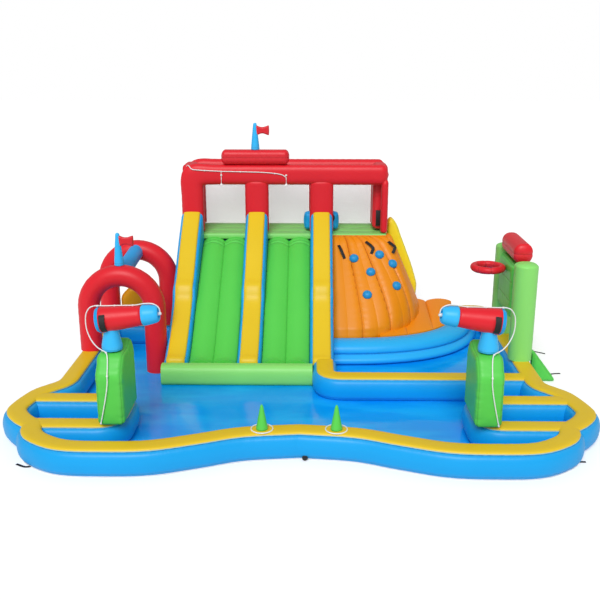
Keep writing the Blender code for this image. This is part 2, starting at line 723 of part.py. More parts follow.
def climbing():
    """The climbing wall with its holds, the roll round its foot, the side ramp and the wing."""
    wall = loft("climbing_wall", climbing_rings(0.0), ORANGE)
    for share, height in HOLD_SHARES:
        level = (height, interpolate(CLIMB_LEVEL_SHARES, height))
        centre = climb_point(share, level, HOLD_RADIUS * HOLD_SINK_SHARE)
        ball = []
        for k in range(1, HOLD_STEPS):
            angle = math.pi * k / HOLD_STEPS
            ball.append((HOLD_RADIUS * math.sin(angle), -HOLD_RADIUS * math.cos(angle)))
        boolean(wall, turned("hold", ball, HOLD_SIDES, BLUE, Matrix.Translation(centre)), "UNION")
    sweep("foot_roll", foot_path(GAP), FOOT_SECTION, BLUE, BASE_Z, Vector((1, 0)), Vector((0, 1)))
    side_ramp()
    outline = [(WING_REACH * x, (WING_TOP - WALL_TOP - GAP) * z) for x, z in WING_SHARES]
    place = at(TOWER_RIGHT_X + GAP, BACK_WALL_Y, WALL_TOP + GAP)
    slab("wing", outline, WING_THICK, place, YELLOW, SOFT_EDGE)


def foot_path(outset):
    """The inner edge of the roll round the climbing wall's foot."""
    path = []
    for i in range(FOOT_STEPS + 1):
        path.append(curve_point(i / FOOT_STEPS, FOOT_REACH_X + outset, CLIMB_REACH_Y + outset,
                                CLIMB_FOOT_SQUARENESS, 0.0).xy)
    path[-1].y = BACK_FACE_Y - FOOT_TAIL
    path.append(Vector((path[-1].x, BACK_FACE_Y)))
    return path


def interpolate(table, value):
    for (x0, y0), (x1, y1) in zip(table, table[1:]):
        if x0 <= value <= x1:
            return y0 + (y1 - y0) * (value - x0) / (x1 - x0)
    raise ValueError("outside the table")


def side_ramp():
    """The low orange ramp between the climbing wall and the roll, with channels that run to the back."""
    edge = foot_path(0.0)
    end_x = crossing(edge, y=BACK_FACE_Y - 2 * FOOT_TAIL)
    low = BASE_Z + FOOT_SECTION[-1][1]
    rings = []
    for i in range(RAMP_STEPS + 1):
        x = RAMP_START_X + (end_x - RAMP_START_X) * i / RAMP_STEPS
        crown = abs(math.sin(math.pi * RAMP_CHANNELS * i / RAMP_STEPS))
        high = low + RAMP_RISE - RAMP_CHANNEL_DEPTH * (1 - crown)
        front = crossing(edge, x=x) + GAP
        back = BACK_FACE_Y if x > TOWER_RIGHT_X + GAP else TOWER_FRONT_Y - FOOT_TAIL
        rings.append([Vector((x, front, BASE_Z)), Vector((x, front, low)),
                      Vector((x, back, high)), Vector((x, back, BASE_Z))])
    ramp = loft("side_ramp", rings, ORANGE)
    boolean(ramp, loft("cutter", climbing_rings(4 * GAP), ORANGE), "DIFFERENCE")


def arch(name, y, top, left_foot, right_foot, grow=0.0):
    """A red tube arch between the slide's side and the pool wall's straight side."""
    radius = ARCH_SPAN / 2
    right_x = SLIDE_LEFT_SIDE - GAP - ARCH_TUBE / 2
    centre = Vector((right_x - radius, y, top - ARCH_TUBE / 2 - radius))
    points = [Vector((centre.x - radius, y, left_foot))]
    for i in range(ARCH_STEPS + 1):
        angle = math.pi * (1 - i / ARCH_STEPS)
        points.append(centre + Vector((radius * math.cos(angle), 0, radius * math.sin(angle))))
    points.append(Vector((right_x, y, right_foot)))
    rings = arch_rings(points, ARCH_TUBE / 2 + grow, TUBE_SIDES, Vector((0, 1, 0)))
    for ring, foot in ((rings[0], left_foot), (rings[-1], right_foot)):
        for point in ring:
            point.z = foot
    return loft(name, rings, RED), centre.x


def arches():
    """The two arches, the ridge tube between their crowns, the gold panel and the small flag."""
    on_wall = CAP_TOP + GAP
    middle = arch("arch_front", ARCH_FRONT_Y, ARCH_FRONT_TOP, on_wall, BASE_Z)[1]
    arch("arch_back", ARCH_BACK_Y, ARCH_BACK_TOP, on_wall, on_wall)
    start_y = ARCH_FRONT_Y + FLAG_BASE_RADIUS + RIDGE_SETBACK
    ends = [Vector((middle, start_y, ARCH_FRONT_TOP - ARCH_TUBE / 2)),
            Vector((middle, ARCH_BACK_Y, ARCH_BACK_TOP - ARCH_TUBE / 2))]
    ridge = loft("ridge_tube", arch_rings(ends, RIDGE_TUBE / 2, TUBE_SIDES, Vector((1, 0, 0))), BLUE)
    boolean(ridge, arch("cutter", ARCH_FRONT_Y, ARCH_FRONT_TOP, on_wall, BASE_Z, GAP)[0], "DIFFERENCE")
    boolean(ridge, arch("cutter", ARCH_BACK_Y, ARCH_BACK_TOP, on_wall, on_wall, GAP)[0], "DIFFERENCE")
    width = ARCH_SPAN - ARCH_TUBE - 2 * GAP
    shoulder = ARCH_PANEL_HEIGHT - ARCH_PANEL_CROWN
    outline = [(-width / 2, 0.0), (width / 2, 0.0), (width / 2, shoulder),
               (width / 4, ARCH_PANEL_HEIGHT), (-width / 4, ARCH_PANEL_HEIGHT), (-width / 2, shoulder)]
    slab("arch_panel", outline, ARCH_PANEL_THICK, at(middle, ARCH_BACK_Y, on_wall), YELLOW)
    small_flag = flag("arch_flag", middle, ARCH_FRONT_Y, ARCH_FRONT_TOP + GAP, ARCH_FLAG_HEIGHT, FLAG_SADDLE)
    boolean(small_flag, arch("cutter", ARCH_FRONT_Y, ARCH_FRONT_TOP, on_wall, BASE_Z, GAP)[0], "DIFFERENCE")


def torus(name, centre, radius, tube_radius, sides, mat):
    """A level ring of round section."""
    corner = flat_radius(tube_radius, sides)
    rings = []
    for i in range(RING_STEPS):
        angle = 2 * math.pi * i / RING_STEPS
        out = Vector((math.cos(angle), math.sin(angle), 0))
        ring = []
        for k in range(sides):
            turn = 2 * math.pi * (k + 0.5) / sides
            ring.append(out * (radius + corner * math.cos(turn)) + Vector((0, 0, corner * math.sin(turn))))
        rings.append(ring)
    obj = loft(name, rings, mat, closed=True)
    obj.location = centre
    return obj


def goal():
    """The basketball goal on the right side wall: two posts, a board, a ring and a red roll."""
    foot = CAP_TOP + GAP
    radius = HOOP_POST / 2
    for side, y in (("front", HOOP_FRONT_Y), ("back", HOOP_FRONT_Y + HOOP_SPACING)):
        shape = [(radius, 0.0), (radius, HOOP_POST_TOP - DOME_HEIGHT - foot),
                 (radius * DOME_SHARE, HOOP_POST_TOP - foot)]
        post = turned("goal_post_" + side, shape, TUBE_SIDES, GREEN, at(SIDE_X, y, foot))
        near = WALL_WIDTH / 2 + GAP
        high = BRACE_HEIGHT + BRACE_TAB - foot
        outline = [(near, -foot), (near + BRACE_REACH, -foot), (near, high), (0.0, high),
                   (0.0, high - BRACE_TAB), (near, high - BRACE_TAB)]
        brace = slab("brace", outline, BRACE_THICK, at(SIDE_X, y, foot), GREEN)
        boolean(post, brace, "UNION")
    middle_y = HOOP_FRONT_Y + HOOP_SPACING / 2
    span = HOOP_SPACING - HOOP_POST - 2 * GAP
    face_x = SIDE_X - BACKBOARD_FACE
    slab("goal_board", box_outline(span, BACKBOARD_TOP - BACKBOARD_BOTTOM), BACKBOARD_THICK,
         at(face_x + BACKBOARD_THICK / 2, middle_y, BACKBOARD_BOTTOM, 90), GREEN, SOFT_EDGE)
    centre = Vector((face_x - GAP - HOOP_RADIUS - HOOP_TUBE / 2, middle_y, HOOP_HEIGHT))
    torus("goal_ring", centre, HOOP_RADIUS, HOOP_TUBE / 2, RING_SIDES, RED)
    slab("goal_roll", box_outline(ROLL_WIDTH, ROLL_HEIGHT), span,
         at(SIDE_X, middle_y, BACKBOARD_TOP + GAP), RED, ROLL_EDGE, ROUND_STEPS)


def cannon(side, sign):
    """A green stand on the pocket wall, a blue neck that turns on it and a red and blue barrel."""
    foot = CAP_TOP + GAP
    front_y = FRONT_BAND_Y - WALL_WIDTH / 2
    outline = [(STAND_LENGTH * y, STAND_RISE * z) for y, z in STAND_PROFILE_SHARES]
    place = at(sign * STAND_X, front_y, foot, 90)
    slab("cannon_stand_" + side, outline, STAND_WIDTH, place, GREEN, SOFT_EDGE)
    saddle = foot + STAND_RISE * STAND_PROFILE_SHARES[2][1] + GAP
    pivot = Vector((sign * STAND_X, front_y + NECK_SETBACK, saddle))
    tilt = math.radians(BARREL_TILT_DEG)
    axis = Vector((-sign * math.cos(tilt), 0, math.sin(tilt)))
    rear = pivot + Vector((sign * BARREL_REAR_REACH, 0, BARREL_RISE))
    turn = axis.to_track_quat("Z", "Y").to_matrix().to_4x4()
    place = Matrix.Translation(rear) @ turn
    end = BARREL_LENGTH + NOZZLE_LENGTH

    def barrel_profile(grow):
        return [(BARREL_END_RADIUS + grow, -grow), (BARREL_REAR_RADIUS + grow, BARREL_END_ROUNDING),
                (BARREL_FRONT_RADIUS + grow, BARREL_LENGTH), (NOZZLE_RADIUS + grow, BARREL_LENGTH),
                (NOZZLE_RADIUS + grow, end - NOZZLE_TAPER), (NOZZLE_MOUTH_RADIUS + grow, end + grow)]

    barrel = turned("cannon_barrel_" + side, barrel_profile(0.0), BARREL_SIDES, RED, place)
    neck = turned("cannon_neck_" + side, [(NECK_BASE_RADIUS, 0.0), (NECK_TOP_RADIUS, BARREL_RISE)],
                  TUBE_SIDES, BLUE, Matrix.Translation(pivot))
    boolean(neck, turned("cutter", barrel_profile(GAP), BARREL_SIDES, RED, place), "DIFFERENCE")
    swivel = bpy.data.objects.new("swivel_" + side, None)
    swivel.location = pivot
    bpy.context.scene.collection.objects.link(swivel)
    for piece in (barrel, neck):
        piece.parent = swivel
        piece.matrix_parent_inverse = Matrix.Translation(-pivot)
    cannon_hose(side, sign, front_y, foot)


def tube(name, points, diameter, mat, steps):
    """A round tube along a smooth curve through hand-chosen points."""
    line = smooth_run(points, steps)
    curve = bpy.data.curves.new(name, "CURVE")
    curve.dimensions = "3D"
    curve.bevel_depth = diameter / 2
    curve.bevel_resolution = 2
    curve.use_fill_caps = True
    spline = curve.splines.new("POLY")
    spline.points.add(len(line) - 1)
    for slot, point in zip(spline.points, line):
        slot.co = (*point, 1.0)
    obj = bpy.data.objects.new(name, curve)
    bpy.context.scene.collection.objects.link(obj)
    curve.materials.append(mat)
    return obj


def cannon_hose(side, sign, front_y, foot):
    """A water hose that climbs the stand's front, then loops free to the rear of the barrel."""
    route = [
        (0.095, -0.0063, 0.050), (0.075, -0.0063, 0.130), (0.030, -0.0063, 0.330), (0.006, -0.0063, 0.470),
        (0.002, -0.0035, 0.553), (0.003, 0.0173, 0.5905), (0.008, 0.0635, 0.6505), (0.016, 0.107, 0.708),
        (0.035, 0.143, 0.745), (0.085, 0.175, 0.759), (0.140, 0.205, 0.785), (0.195, 0.235, 0.840),
        (0.238, 0.262, 0.925), (0.250, 0.270, 1.015), (0.240, 0.270, 1.105), (0.200, 0.270, 1.170),
        (0.150, 0.270, 1.190),
    ]
    points = [(sign * (STAND_X + x), front_y + y, foot + z) for x, y, z in route]
    tube("cannon_hose_" + side, points, HOSE, WHITE, 3)


def markers():
    """Green cones on the front wall, each with a loose toss ring round it."""
    for side, sign in (("left", -1), ("right", 1)):
        x = sign * MARKER_X
        y = crossing(FRONT_PATH, x=x)
        turned("marker_cone_" + side, [(MARKER_RADIUS, 0.0), (MARKER_TIP_RADIUS, MARKER_HEIGHT)],
               CONE_SIDES, GREEN, at(x, y, CAP_TOP + GAP))
        centre = Vector((x, y, CAP_TOP + GAP + RING_TUBE / 2))
        torus("toss_ring_" + side, centre, RING_RADIUS, RING_TUBE / 2, RING_SIDES, WHITE)


def hoses():
    """The supply hose at the foot of the front wall and the spray hose on the tower's beam."""
    (foot_share, _), (belly_share, belly_height) = WALL_SECTION_SHARES[:2]
    foot_x = WALL_WIDTH * foot_share
    lean = Vector((WALL_WIDTH * (belly_share - foot_share), WALL_HEIGHT * belly_height))
    beside = ((HOSE / 2 + GAP) * lean.length + (HOSE / 2 - BASE_Z) * lean.x) / lean.y
    points = []
    for point, (along, mitre) in zip(FRONT_PATH, directions(FRONT_PATH)):
        edge = point + Vector((along.y, -along.x)) * mitre * (foot_x + beside)
        points.append((*edge, HOSE / 2))
    tube("ground_hose", points[OUTLINE_STEPS:-OUTLINE_STEPS], HOSE, WHITE, 1)
    y = TOWER_FRONT_Y - HOSE / 2 - GAP
    route = [(-1.50, 2.338), (-1.36, 2.328), (-1.14, 2.318), (-0.87, 2.312), (-0.59, 2.305), (-0.40, 2.290),
             (-0.30, 2.270), (-0.243, 2.235)]
    tube("tower_hose", [(x, y, z) for x, z in route], HOSE, WHITE, 3)


pool()
inner_walls()
slides()
tower()
flag("tower_flag", SIGN_CENTRE_X, TOWER_FRONT_Y + SIGN_THICK / 2, TOWER_TOP + SIGN_HEIGHT + 2 * GAP,
     TOWER_FLAG_HEIGHT)
climbing()
arches()
goal()
for cannon_side, cannon_sign in (("left", -1), ("right", 1)):
    cannon(cannon_side, cannon_sign)
markers()
hoses()
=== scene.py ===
import bmesh
import bpy
import math
import numpy as np
from mathutils import Matrix, Vector


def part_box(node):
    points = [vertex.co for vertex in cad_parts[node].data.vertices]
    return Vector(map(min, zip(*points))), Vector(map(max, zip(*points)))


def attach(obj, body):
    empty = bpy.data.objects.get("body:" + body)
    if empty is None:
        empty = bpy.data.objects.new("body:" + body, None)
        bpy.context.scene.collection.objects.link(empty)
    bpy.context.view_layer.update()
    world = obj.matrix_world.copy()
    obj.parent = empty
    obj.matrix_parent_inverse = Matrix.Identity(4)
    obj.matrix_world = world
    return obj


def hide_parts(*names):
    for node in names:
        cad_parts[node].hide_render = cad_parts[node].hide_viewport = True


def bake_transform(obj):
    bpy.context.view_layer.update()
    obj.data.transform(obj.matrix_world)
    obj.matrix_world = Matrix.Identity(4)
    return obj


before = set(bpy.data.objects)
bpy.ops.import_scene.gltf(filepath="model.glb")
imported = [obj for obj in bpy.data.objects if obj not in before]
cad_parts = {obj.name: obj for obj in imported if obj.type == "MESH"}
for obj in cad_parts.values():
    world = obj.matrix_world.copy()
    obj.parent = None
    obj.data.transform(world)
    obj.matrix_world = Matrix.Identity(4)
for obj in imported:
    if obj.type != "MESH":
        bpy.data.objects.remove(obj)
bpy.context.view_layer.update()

# ---------------------------------------------------------------- Studio
# A pale floor under an even white sky, as a product studio has it, and one broad soft lamp high up in
# front. The camera stands where the photograph was taken from, well above the slide tops.


class Wire:
    """A value in a material. Sums and products of it add the nodes that work them out."""

    def __init__(self, tree, socket=None):
        self.tree = tree
        self.socket = socket

    def node(self, kind, settings=None, sockets=None, out=0):
        made = self.tree.nodes.new(kind)
        for key, value in (settings or {}).items():
            setattr(made, key, value)
        for key, value in (sockets or {}).items():
            target = made.inputs[key]
            if isinstance(value, Wire):
                self.tree.links.new(value.socket, target)
            elif target.type == "RGBA":
                target.default_value = (*value, 1.0)
            else:
                target.default_value = value
        return Wire(self.tree, made.outputs[out])

    def sum_of(self, operation, *values):
        return self.node("ShaderNodeMath", {"operation": operation}, dict(enumerate(values)))

    def __add__(self, other):
        return self.sum_of("ADD", self, other)

    def __sub__(self, other):
        return self.sum_of("SUBTRACT", self, other)

    def __rsub__(self, other):
        return self.sum_of("SUBTRACT", other, self)

    def __mul__(self, other):
        return self.sum_of("MULTIPLY", self, other)

    __radd__ = __add__
    __rmul__ = __mul__

    def drives(self, socket):
        self.tree.links.new(self.socket, socket)


def seen_directly(wire):
    """One for what the camera sees, also through a net, and zero for light that falls on the object."""
    path = wire.node("ShaderNodeLightPath", out="Is Camera Ray")
    through = Wire(wire.tree, path.socket.node.outputs["Is Transmission Ray"])
    return path.sum_of("MAXIMUM", path, through)


def new_object(name, points, faces):
    """A mesh of given points and faces, placed in the scene."""
    mesh = bpy.data.meshes.new(name)
    mesh.from_pydata(np.asarray(points, float).tolist(), [], faces)
    made = bpy.data.objects.new(name, mesh)
    bpy.context.scene.collection.objects.link(made)
    return made


SKY_LIGHT = 0.42
LAMP_LIGHT = 2.15
LAMP_DIRECTION = (-0.14, -1.0, 0.95)

bpy.context.scene.view_settings.view_transform = "Standard"
world = bpy.data.worlds.new("white_studio")
bpy.context.scene.world = world
world.use_nodes = True
sky = Wire(world.node_tree)
background = world.node_tree.nodes["Background"]
background.inputs["Color"].default_value = (1.0, 1.0, 1.0, 1.0)
seen = seen_directly(sky)
(seen + (1.0 - seen) * SKY_LIGHT).drives(background.inputs["Strength"])

lamp = bpy.data.lights.new("soft_lamp", "SUN")
lamp.energy = LAMP_LIGHT
lamp.angle = math.radians(30.0)
lamp_object = bpy.data.objects.new("soft_lamp", lamp)
lamp_object.rotation_euler = Vector(LAMP_DIRECTION).to_track_quat("Z", "Y").to_euler()
bpy.context.scene.collection.objects.link(lamp_object)

camera = bpy.data.cameras.new("photo_camera")
camera.lens = 50.0
camera.sensor_width = 36.0
camera_object = bpy.data.objects.new("photo_camera", camera)
camera_object.location = (0.13, -9.645, 3.89)
camera_object.rotation_euler = (math.radians(73.4), 0.0, math.radians(0.92))
bpy.context.scene.collection.objects.link(camera_object)
bpy.context.scene.camera = camera_object

floor = new_object("studio_floor", [(-40, -30, 0), (40, -30, 0), (40, 60, 0), (-40, 60, 0)], [(0, 1, 2, 3)])
floor.location = (0.0, 0.0, -0.001)
paper = bpy.data.materials.new("studio_paper")
paper.use_nodes = True
paper_shader = paper.node_tree.nodes["Principled BSDF"]
paper_shader.inputs["Roughness"].default_value = 1.0
paper_shader.inputs["Specular IOR Level"].default_value = 0.0
paper_shader.inputs["Emission Strength"].default_value = 1.0
sheet_wire = Wire(paper.node_tree)
grain = sheet_wire.node("ShaderNodeTexNoise", {}, {"Scale": 0.7, "Detail": 2.0})
shade = grain * 0.02 + 0.88
sheet_wire.node("ShaderNodeCombineColor", {}, {"Red": shade, "Green": shade, "Blue": shade}).drives(
    paper_shader.inputs["Base Color"])
glow = seen_directly(sheet_wire) * 0.28
sheet_wire.node("ShaderNodeCombineColor", {}, {"Red": glow, "Green": glow, "Blue": glow}).drives(
    paper_shader.inputs["Emission Color"])
floor.data.materials.append(paper)

# ---------------------------------------------------------------- Pool floor
# One sheet of blue coated fabric that lies on the lawn, cut to the pool's outline and welded to the
# walls all round. A film of water leaves it shiny, with soft ripples.

GAP = 0.0003
FLOOR_TOP = 0.004
LOBE_REACH = 2.99
FRONT_REACH = 2.44
SIDE_X = LOBE_REACH * 0.891
BACK_Y = 2.59
WALL_WIDTH = 0.30
CORNER_RADIUS = 0.20
SHEET_UNDER_WALL = 0.31
BACK_WALL_Y = BACK_Y - 0.465
LEFT_BACK_Y = 1.335
TOWER_LEFT_X = -1.705
TOWER_RIGHT_X = 1.17
FRONT_RUN_SHARES = [(0.0, 0.832), (0.191, 0.863), (0.334, 0.928), (0.480, 0.988), (0.622, 1.0),
                    (0.764, 0.988), (0.862, 0.918), (0.898, 0.850), (0.903, 0.805)]
LOBE_RUN_SHARES = [(0.903, 0.805), (0.947, 0.756), (0.987, 0.691), (1.0, 0.625),
                   (0.973, 0.478), (0.936, 0.412), (0.903, 0.363), (0.891, 0.313)]


def measured(line):
    """How far along a line each of its points lies."""
    return np.concatenate([[0.0], np.cumsum(np.linalg.norm(np.diff(line, axis=0), axis=1))])


def picked(line, places, loop=False):
    """The points that lie at given distances along a line."""
    line = np.asarray(line, float)
    if loop:
        line = np.concatenate([line, line[:1]])
    run = measured(line)
    return np.stack([np.interp(places, run, line[:, k]) for k in range(line.shape[1])], axis=1)


def even(line, step):
    line = np.asarray(line, float)
    length = measured(line)[-1]
    return picked(line, np.linspace(0.0, length, max(2, round(length / step) + 1)))


def smooth_line(points, step):
    """An even row of points on a smooth curve through the given ones."""
    pts = np.asarray(points, float)
    pts = np.concatenate([2 * pts[:1] - pts[1:2], pts, 2 * pts[-1:] - pts[-2:-1]])
    t = np.linspace(0.0, 1.0, 16, endpoint=False)[:, None]
    runs = []
    for a, b, c, d in zip(pts, pts[1:], pts[2:], pts[3:]):
        runs.append(0.5 * (2 * b + (c - a) * t + (2 * a - 5 * b + 4 * c - d) * t ** 2
                           + (3 * b - a - 3 * c + d) * t ** 3))
    return even(np.concatenate(runs + [pts[-2:-1]]), step)


def bent_line(points, radius, step):
    """A line of straight runs with its corners rounded."""
    pts = np.asarray(points, float)
    out = [pts[:1]]
    t = np.linspace(0.0, 1.0, 12)[:, None]
    for before, corner, after in zip(pts, pts[1:], pts[2:]):
        into = corner + (before - corner) / np.linalg.norm(before - corner) * radius
        away = corner + (after - corner) / np.linalg.norm(after - corner) * radius
        out.append(into * (1 - t) ** 2 + corner * 2 * t * (1 - t) + away * t ** 2)
    return even(np.concatenate(out + [pts[-1:]]), step)


def rim_side(sign):
    """The wall's centre line on one side: its front run, then its lobe."""
    front = [(sign * LOBE_REACH * x, -FRONT_REACH * y) for x, y in FRONT_RUN_SHARES]
    lobe = [(sign * LOBE_REACH * x, -FRONT_REACH * y) for x, y in LOBE_RUN_SHARES]
    return smooth_line(front + lobe[1:], 0.03)


def back_turn(sign, back_y, end_x):
    corner = [(sign * SIDE_X, back_y - WALL_WIDTH), (sign * SIDE_X, back_y), (end_x, back_y)]
    return bent_line(corner, CORNER_RADIUS, 0.03)


RIM_LINE = even(np.concatenate([back_turn(-1, LEFT_BACK_Y, TOWER_LEFT_X)[::-1], rim_side(-1)[::-1],
                                rim_side(1)[1:], back_turn(1, BACK_WALL_Y, TOWER_RIGHT_X)]), 0.03)


def on_ground(line, height=0.0):
    """A flat line as points in space."""
    line = np.asarray(line, float)
    return np.concatenate([line, np.full((len(line), 1), height)], axis=1)


def piece(name, points, faces, material, cad_nodes, body="park"):
    """A mesh that takes the place of CAD solids and moves with their body."""
    return settle(new_object(name, points, faces), material, cad_nodes, body)


def settle(made, material, cad_nodes, body="park"):
    """Turns a mesh the right way out and ties it to its body, its CAD solids and its finish."""
    tidy = bmesh.new()
    tidy.from_mesh(made.data)
    bmesh.ops.recalc_face_normals(tidy, faces=tidy.faces)
    tidy.to_mesh(made.data)
    tidy.free()
    made.data.shade_smooth()
    made.data.set_sharp_from_angle(angle=math.radians(55.0))
    made.data.materials.clear()
    made.data.materials.append(material)
    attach(made, body)
    if cad_nodes:
        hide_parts(*cad_nodes)
    return made


def new_finish(name):
    """A material with its shader, a first wire to build its nodes from, and places on the object."""
    material = bpy.data.materials.new(name)
    material.use_nodes = True
    wire = Wire(material.node_tree)
    place = wire.node("ShaderNodeTexCoord", out="Object")
    return material, material.node_tree.nodes["Principled BSDF"], wire, place


def blend_colours(wire, share, first, second):
    """A mix of two colours, each a wire or three numbers."""
    return wire.node("ShaderNodeMix", {"data_type": "RGBA", "clamp_factor": True},
                     {0: share, 6: first, 7: second}, out=2)


def faded(wire, value, near, far, high=1.0, low=0.0):
    """Goes softly from one level at the near value to another at the far value."""
    return wire.node("ShaderNodeMapRange", {"interpolation_type": "SMOOTHSTEP"},
                     {"Value": value, "From Min": near, "From Max": far, "To Min": high, "To Max": low})


def noise(wire, place, scale, detail=2.0):
    return wire.node("ShaderNodeTexNoise", {}, {"Vector": place, "Scale": scale, "Detail": detail},
                     out="Fac")


def toned(colour, factor):
    return tuple(min(1.0, max(0.0, part * factor)) for part in colour)


def dented(wire, shader, height, strength):
    """Lets a height too small for the mesh catch the light."""
    wire.node("ShaderNodeBump", {}, {"Height": height, "Distance": 1.0, "Strength": strength}).drives(
        shader.inputs["Normal"])


def grid_faces(rows, columns, lids=True, loop=True):
    """The faces of a grid of points whose rows close in a loop, with a lid on either end."""
    faces = []
    for i in range(rows - 1):
        for j in range(columns if loop else columns - 1):
            k = (j + 1) % columns
            faces.append((i * columns + j, i * columns + k, (i + 1) * columns + k, (i + 1) * columns + j))
    if lids:
        faces.append(tuple(range(columns)))
        faces.append(tuple((rows - 1) * columns + j for j in range(columns)))
    return faces


def signed_area(outline):
    """The area in a closed outline, negative where it runs clockwise."""
    x, y = outline[:, 0], outline[:, 1]
    return 0.5 * (np.dot(x, np.roll(y, -1)) - np.dot(y, np.roll(x, -1)))


FLOOR_BLUE = (0.001, 0.34, 0.93)
FLOOR_PALE = (0.010, 0.45, 1.0)


def wet_sheet():
    """Blue fabric under a film of water, with long soft ripples."""
    material, shader, wire, place = new_finish("wet_pool_sheet")
    stretched = wire.node("ShaderNodeMapping", {}, {"Vector": place, "Scale": (0.5, 1.6, 1.0)})
    ripple = noise(wire, stretched, 1.7, 2.0)
    fine = noise(wire, stretched, 9.0, 2.0)
    glint = faded(wire, ripple * 0.85 + fine * 0.15, 0.40, 0.66, 0.0, 1.0)
    blend_colours(wire, glint, FLOOR_BLUE, FLOOR_PALE).drives(shader.inputs["Base Color"])
    (fine * 0.08 + 0.08).drives(shader.inputs["Roughness"])
    dented(wire, shader, ripple * 0.014 + fine * 0.0022, 0.5)
    shader.inputs["Specular IOR Level"].default_value = 0.30
    return material


ahead = np.gradient(RIM_LINE, axis=0)
ahead /= np.linalg.norm(ahead, axis=1)[:, None]
outward = np.stack([ahead[:, 1], -ahead[:, 0]], axis=1)
rim_edge = RIM_LINE + outward * WALL_WIDTH * SHEET_UNDER_WALL
corners = [(TOWER_RIGHT_X, BACK_Y - 0.05), (TOWER_LEFT_X, BACK_Y - 0.05)]
floor_outline = even(np.concatenate([rim_edge, corners, rim_edge[:1]]), 0.06)[:-1]
rings = np.linspace(1.0, 0.04, 40)
floor_points = np.concatenate([on_ground(floor_outline * share) for share in rings])
floor_xs, floor_ys = floor_points[:, 0], floor_points[:, 1]
wobble = np.sin(floor_xs * 9.0 + np.sin(floor_ys * 5.0)) * np.sin(floor_ys * 8.0)
floor_points[:, 2] = FLOOR_TOP - 0.0012 + 0.0010 * wobble
count = len(floor_outline)
floor_faces = grid_faces(len(rings), count, lids=False)
floor_faces.append(tuple((len(rings) - 1) * count + i for i in range(count)))
pool_sheet = piece("pool_sheet", floor_points, floor_faces, wet_sheet(), ["pool_floor"])

# ---------------------------------------------------------------- Wall round the pool
# A fat blue tube of coated fabric, sewn from long strips, with a padded yellow strip on its top.
# The seams pull the fabric in, so it gathers into small folds beside them.

SEAM_STEPS = (0.0, 0.008, -0.008, 0.018, -0.018, 0.032, -0.032)
GATHER_REACH = 0.05
TUCK_REACH = 0.015
BATCH = 4000
WALL_FOOT = FLOOR_TOP + GAP
WALL_HEIGHT = 0.255
WALL_TOP = WALL_FOOT + WALL_HEIGHT
CAP_WIDTH = WALL_WIDTH * 0.69
CAP_HEIGHT = 0.030
WALL_SHARES = [(0.33, 0.0), (0.455, 0.14), (0.5, 0.40), (0.5, 0.62), (0.44, 0.88), (0.345, 1.0)]
BLUE = (0.003, 0.37, 0.83)
YELLOW = (0.80, 0.55, 0.014)
# Pale blue painted along the yellow strips' edges: a painted highlight of the blue wall's shoulder beneath
# them.
SHOULDER_HIGHLIGHT_BLUE = (0.22, 0.62, 0.84)


def stations(length, seams, step, loop=False):
    """Places along a length, close together beside each seam."""
    coarse = np.linspace(0.0, length, max(3, round(length / step) + 1))
    near = [seam + extra for seam in seams for extra in SEAM_STEPS]
    if loop:
        coarse = coarse[:-1]
        near = [place % length for place in near]
    near = [place for place in near if 0.0 <= place <= length]
    keep = [c for c in coarse if all(abs(c - place) > step * 0.35 for place in near)]
    if not loop:
        keep += [0.0, length]
    return np.array(sorted({round(float(place), 5) for place in keep + near}))


def section_ring(outline, seam_places, step=0.022):
    """Points round a closed section, and which of them lie on the seams."""
    outline = np.asarray(outline, float)
    closed = np.concatenate([outline, outline[:1]])
    run = measured(closed)
    seams = []
    for place in seam_places:
        seams.append(float(run[int(np.argmin(np.linalg.norm(outline - np.array(place), axis=1)))]))
    places = stations(run[-1], seams, step, loop=True)
    columns = [int(np.argmin(np.abs(places - seam))) for seam in seams]
    return picked(outline, places, loop=True), columns


def carried(line, up):
    """The directions to the side and to the top at each point of a line."""
    way = np.gradient(line, axis=0)
    way /= np.linalg.norm(way, axis=1)[:, None]
    side = np.cross(way, np.array(up, float))
    side /= np.linalg.norm(side, axis=1)[:, None]
    return side, np.cross(side, way)


def swept_grid(line, section, up=(0.0, 0.0, 1.0), sizes=None):
    """A section carried along a line, made smaller where sizes says so."""
    side, top = carried(line, up)
    sizes = np.ones(len(line)) if sizes is None else sizes
    across = section[None, :, 0:1] * sizes[:, None, None]
    height = section[None, :, 1:2] * sizes[:, None, None]
    return line[:, None, :] + side[:, None, :] * across + top[:, None, :] * height


def pucker(run):
    """Uneven small folds along a seam."""
    return (0.6 * np.sin(run * 57.0 + 0.9 * np.sin(run * 11.9))
            + 0.4 * np.sin(run * 88.0 + 1.7 + 1.1 * np.sin(run * 17.0)))


def point_values(mesh, kind):
    """The places or the normals of a mesh's points."""
    values = np.zeros(len(mesh.vertices) * 3)
    mesh.vertices.foreach_get(kind, values)
    return values.reshape(-1, 3)


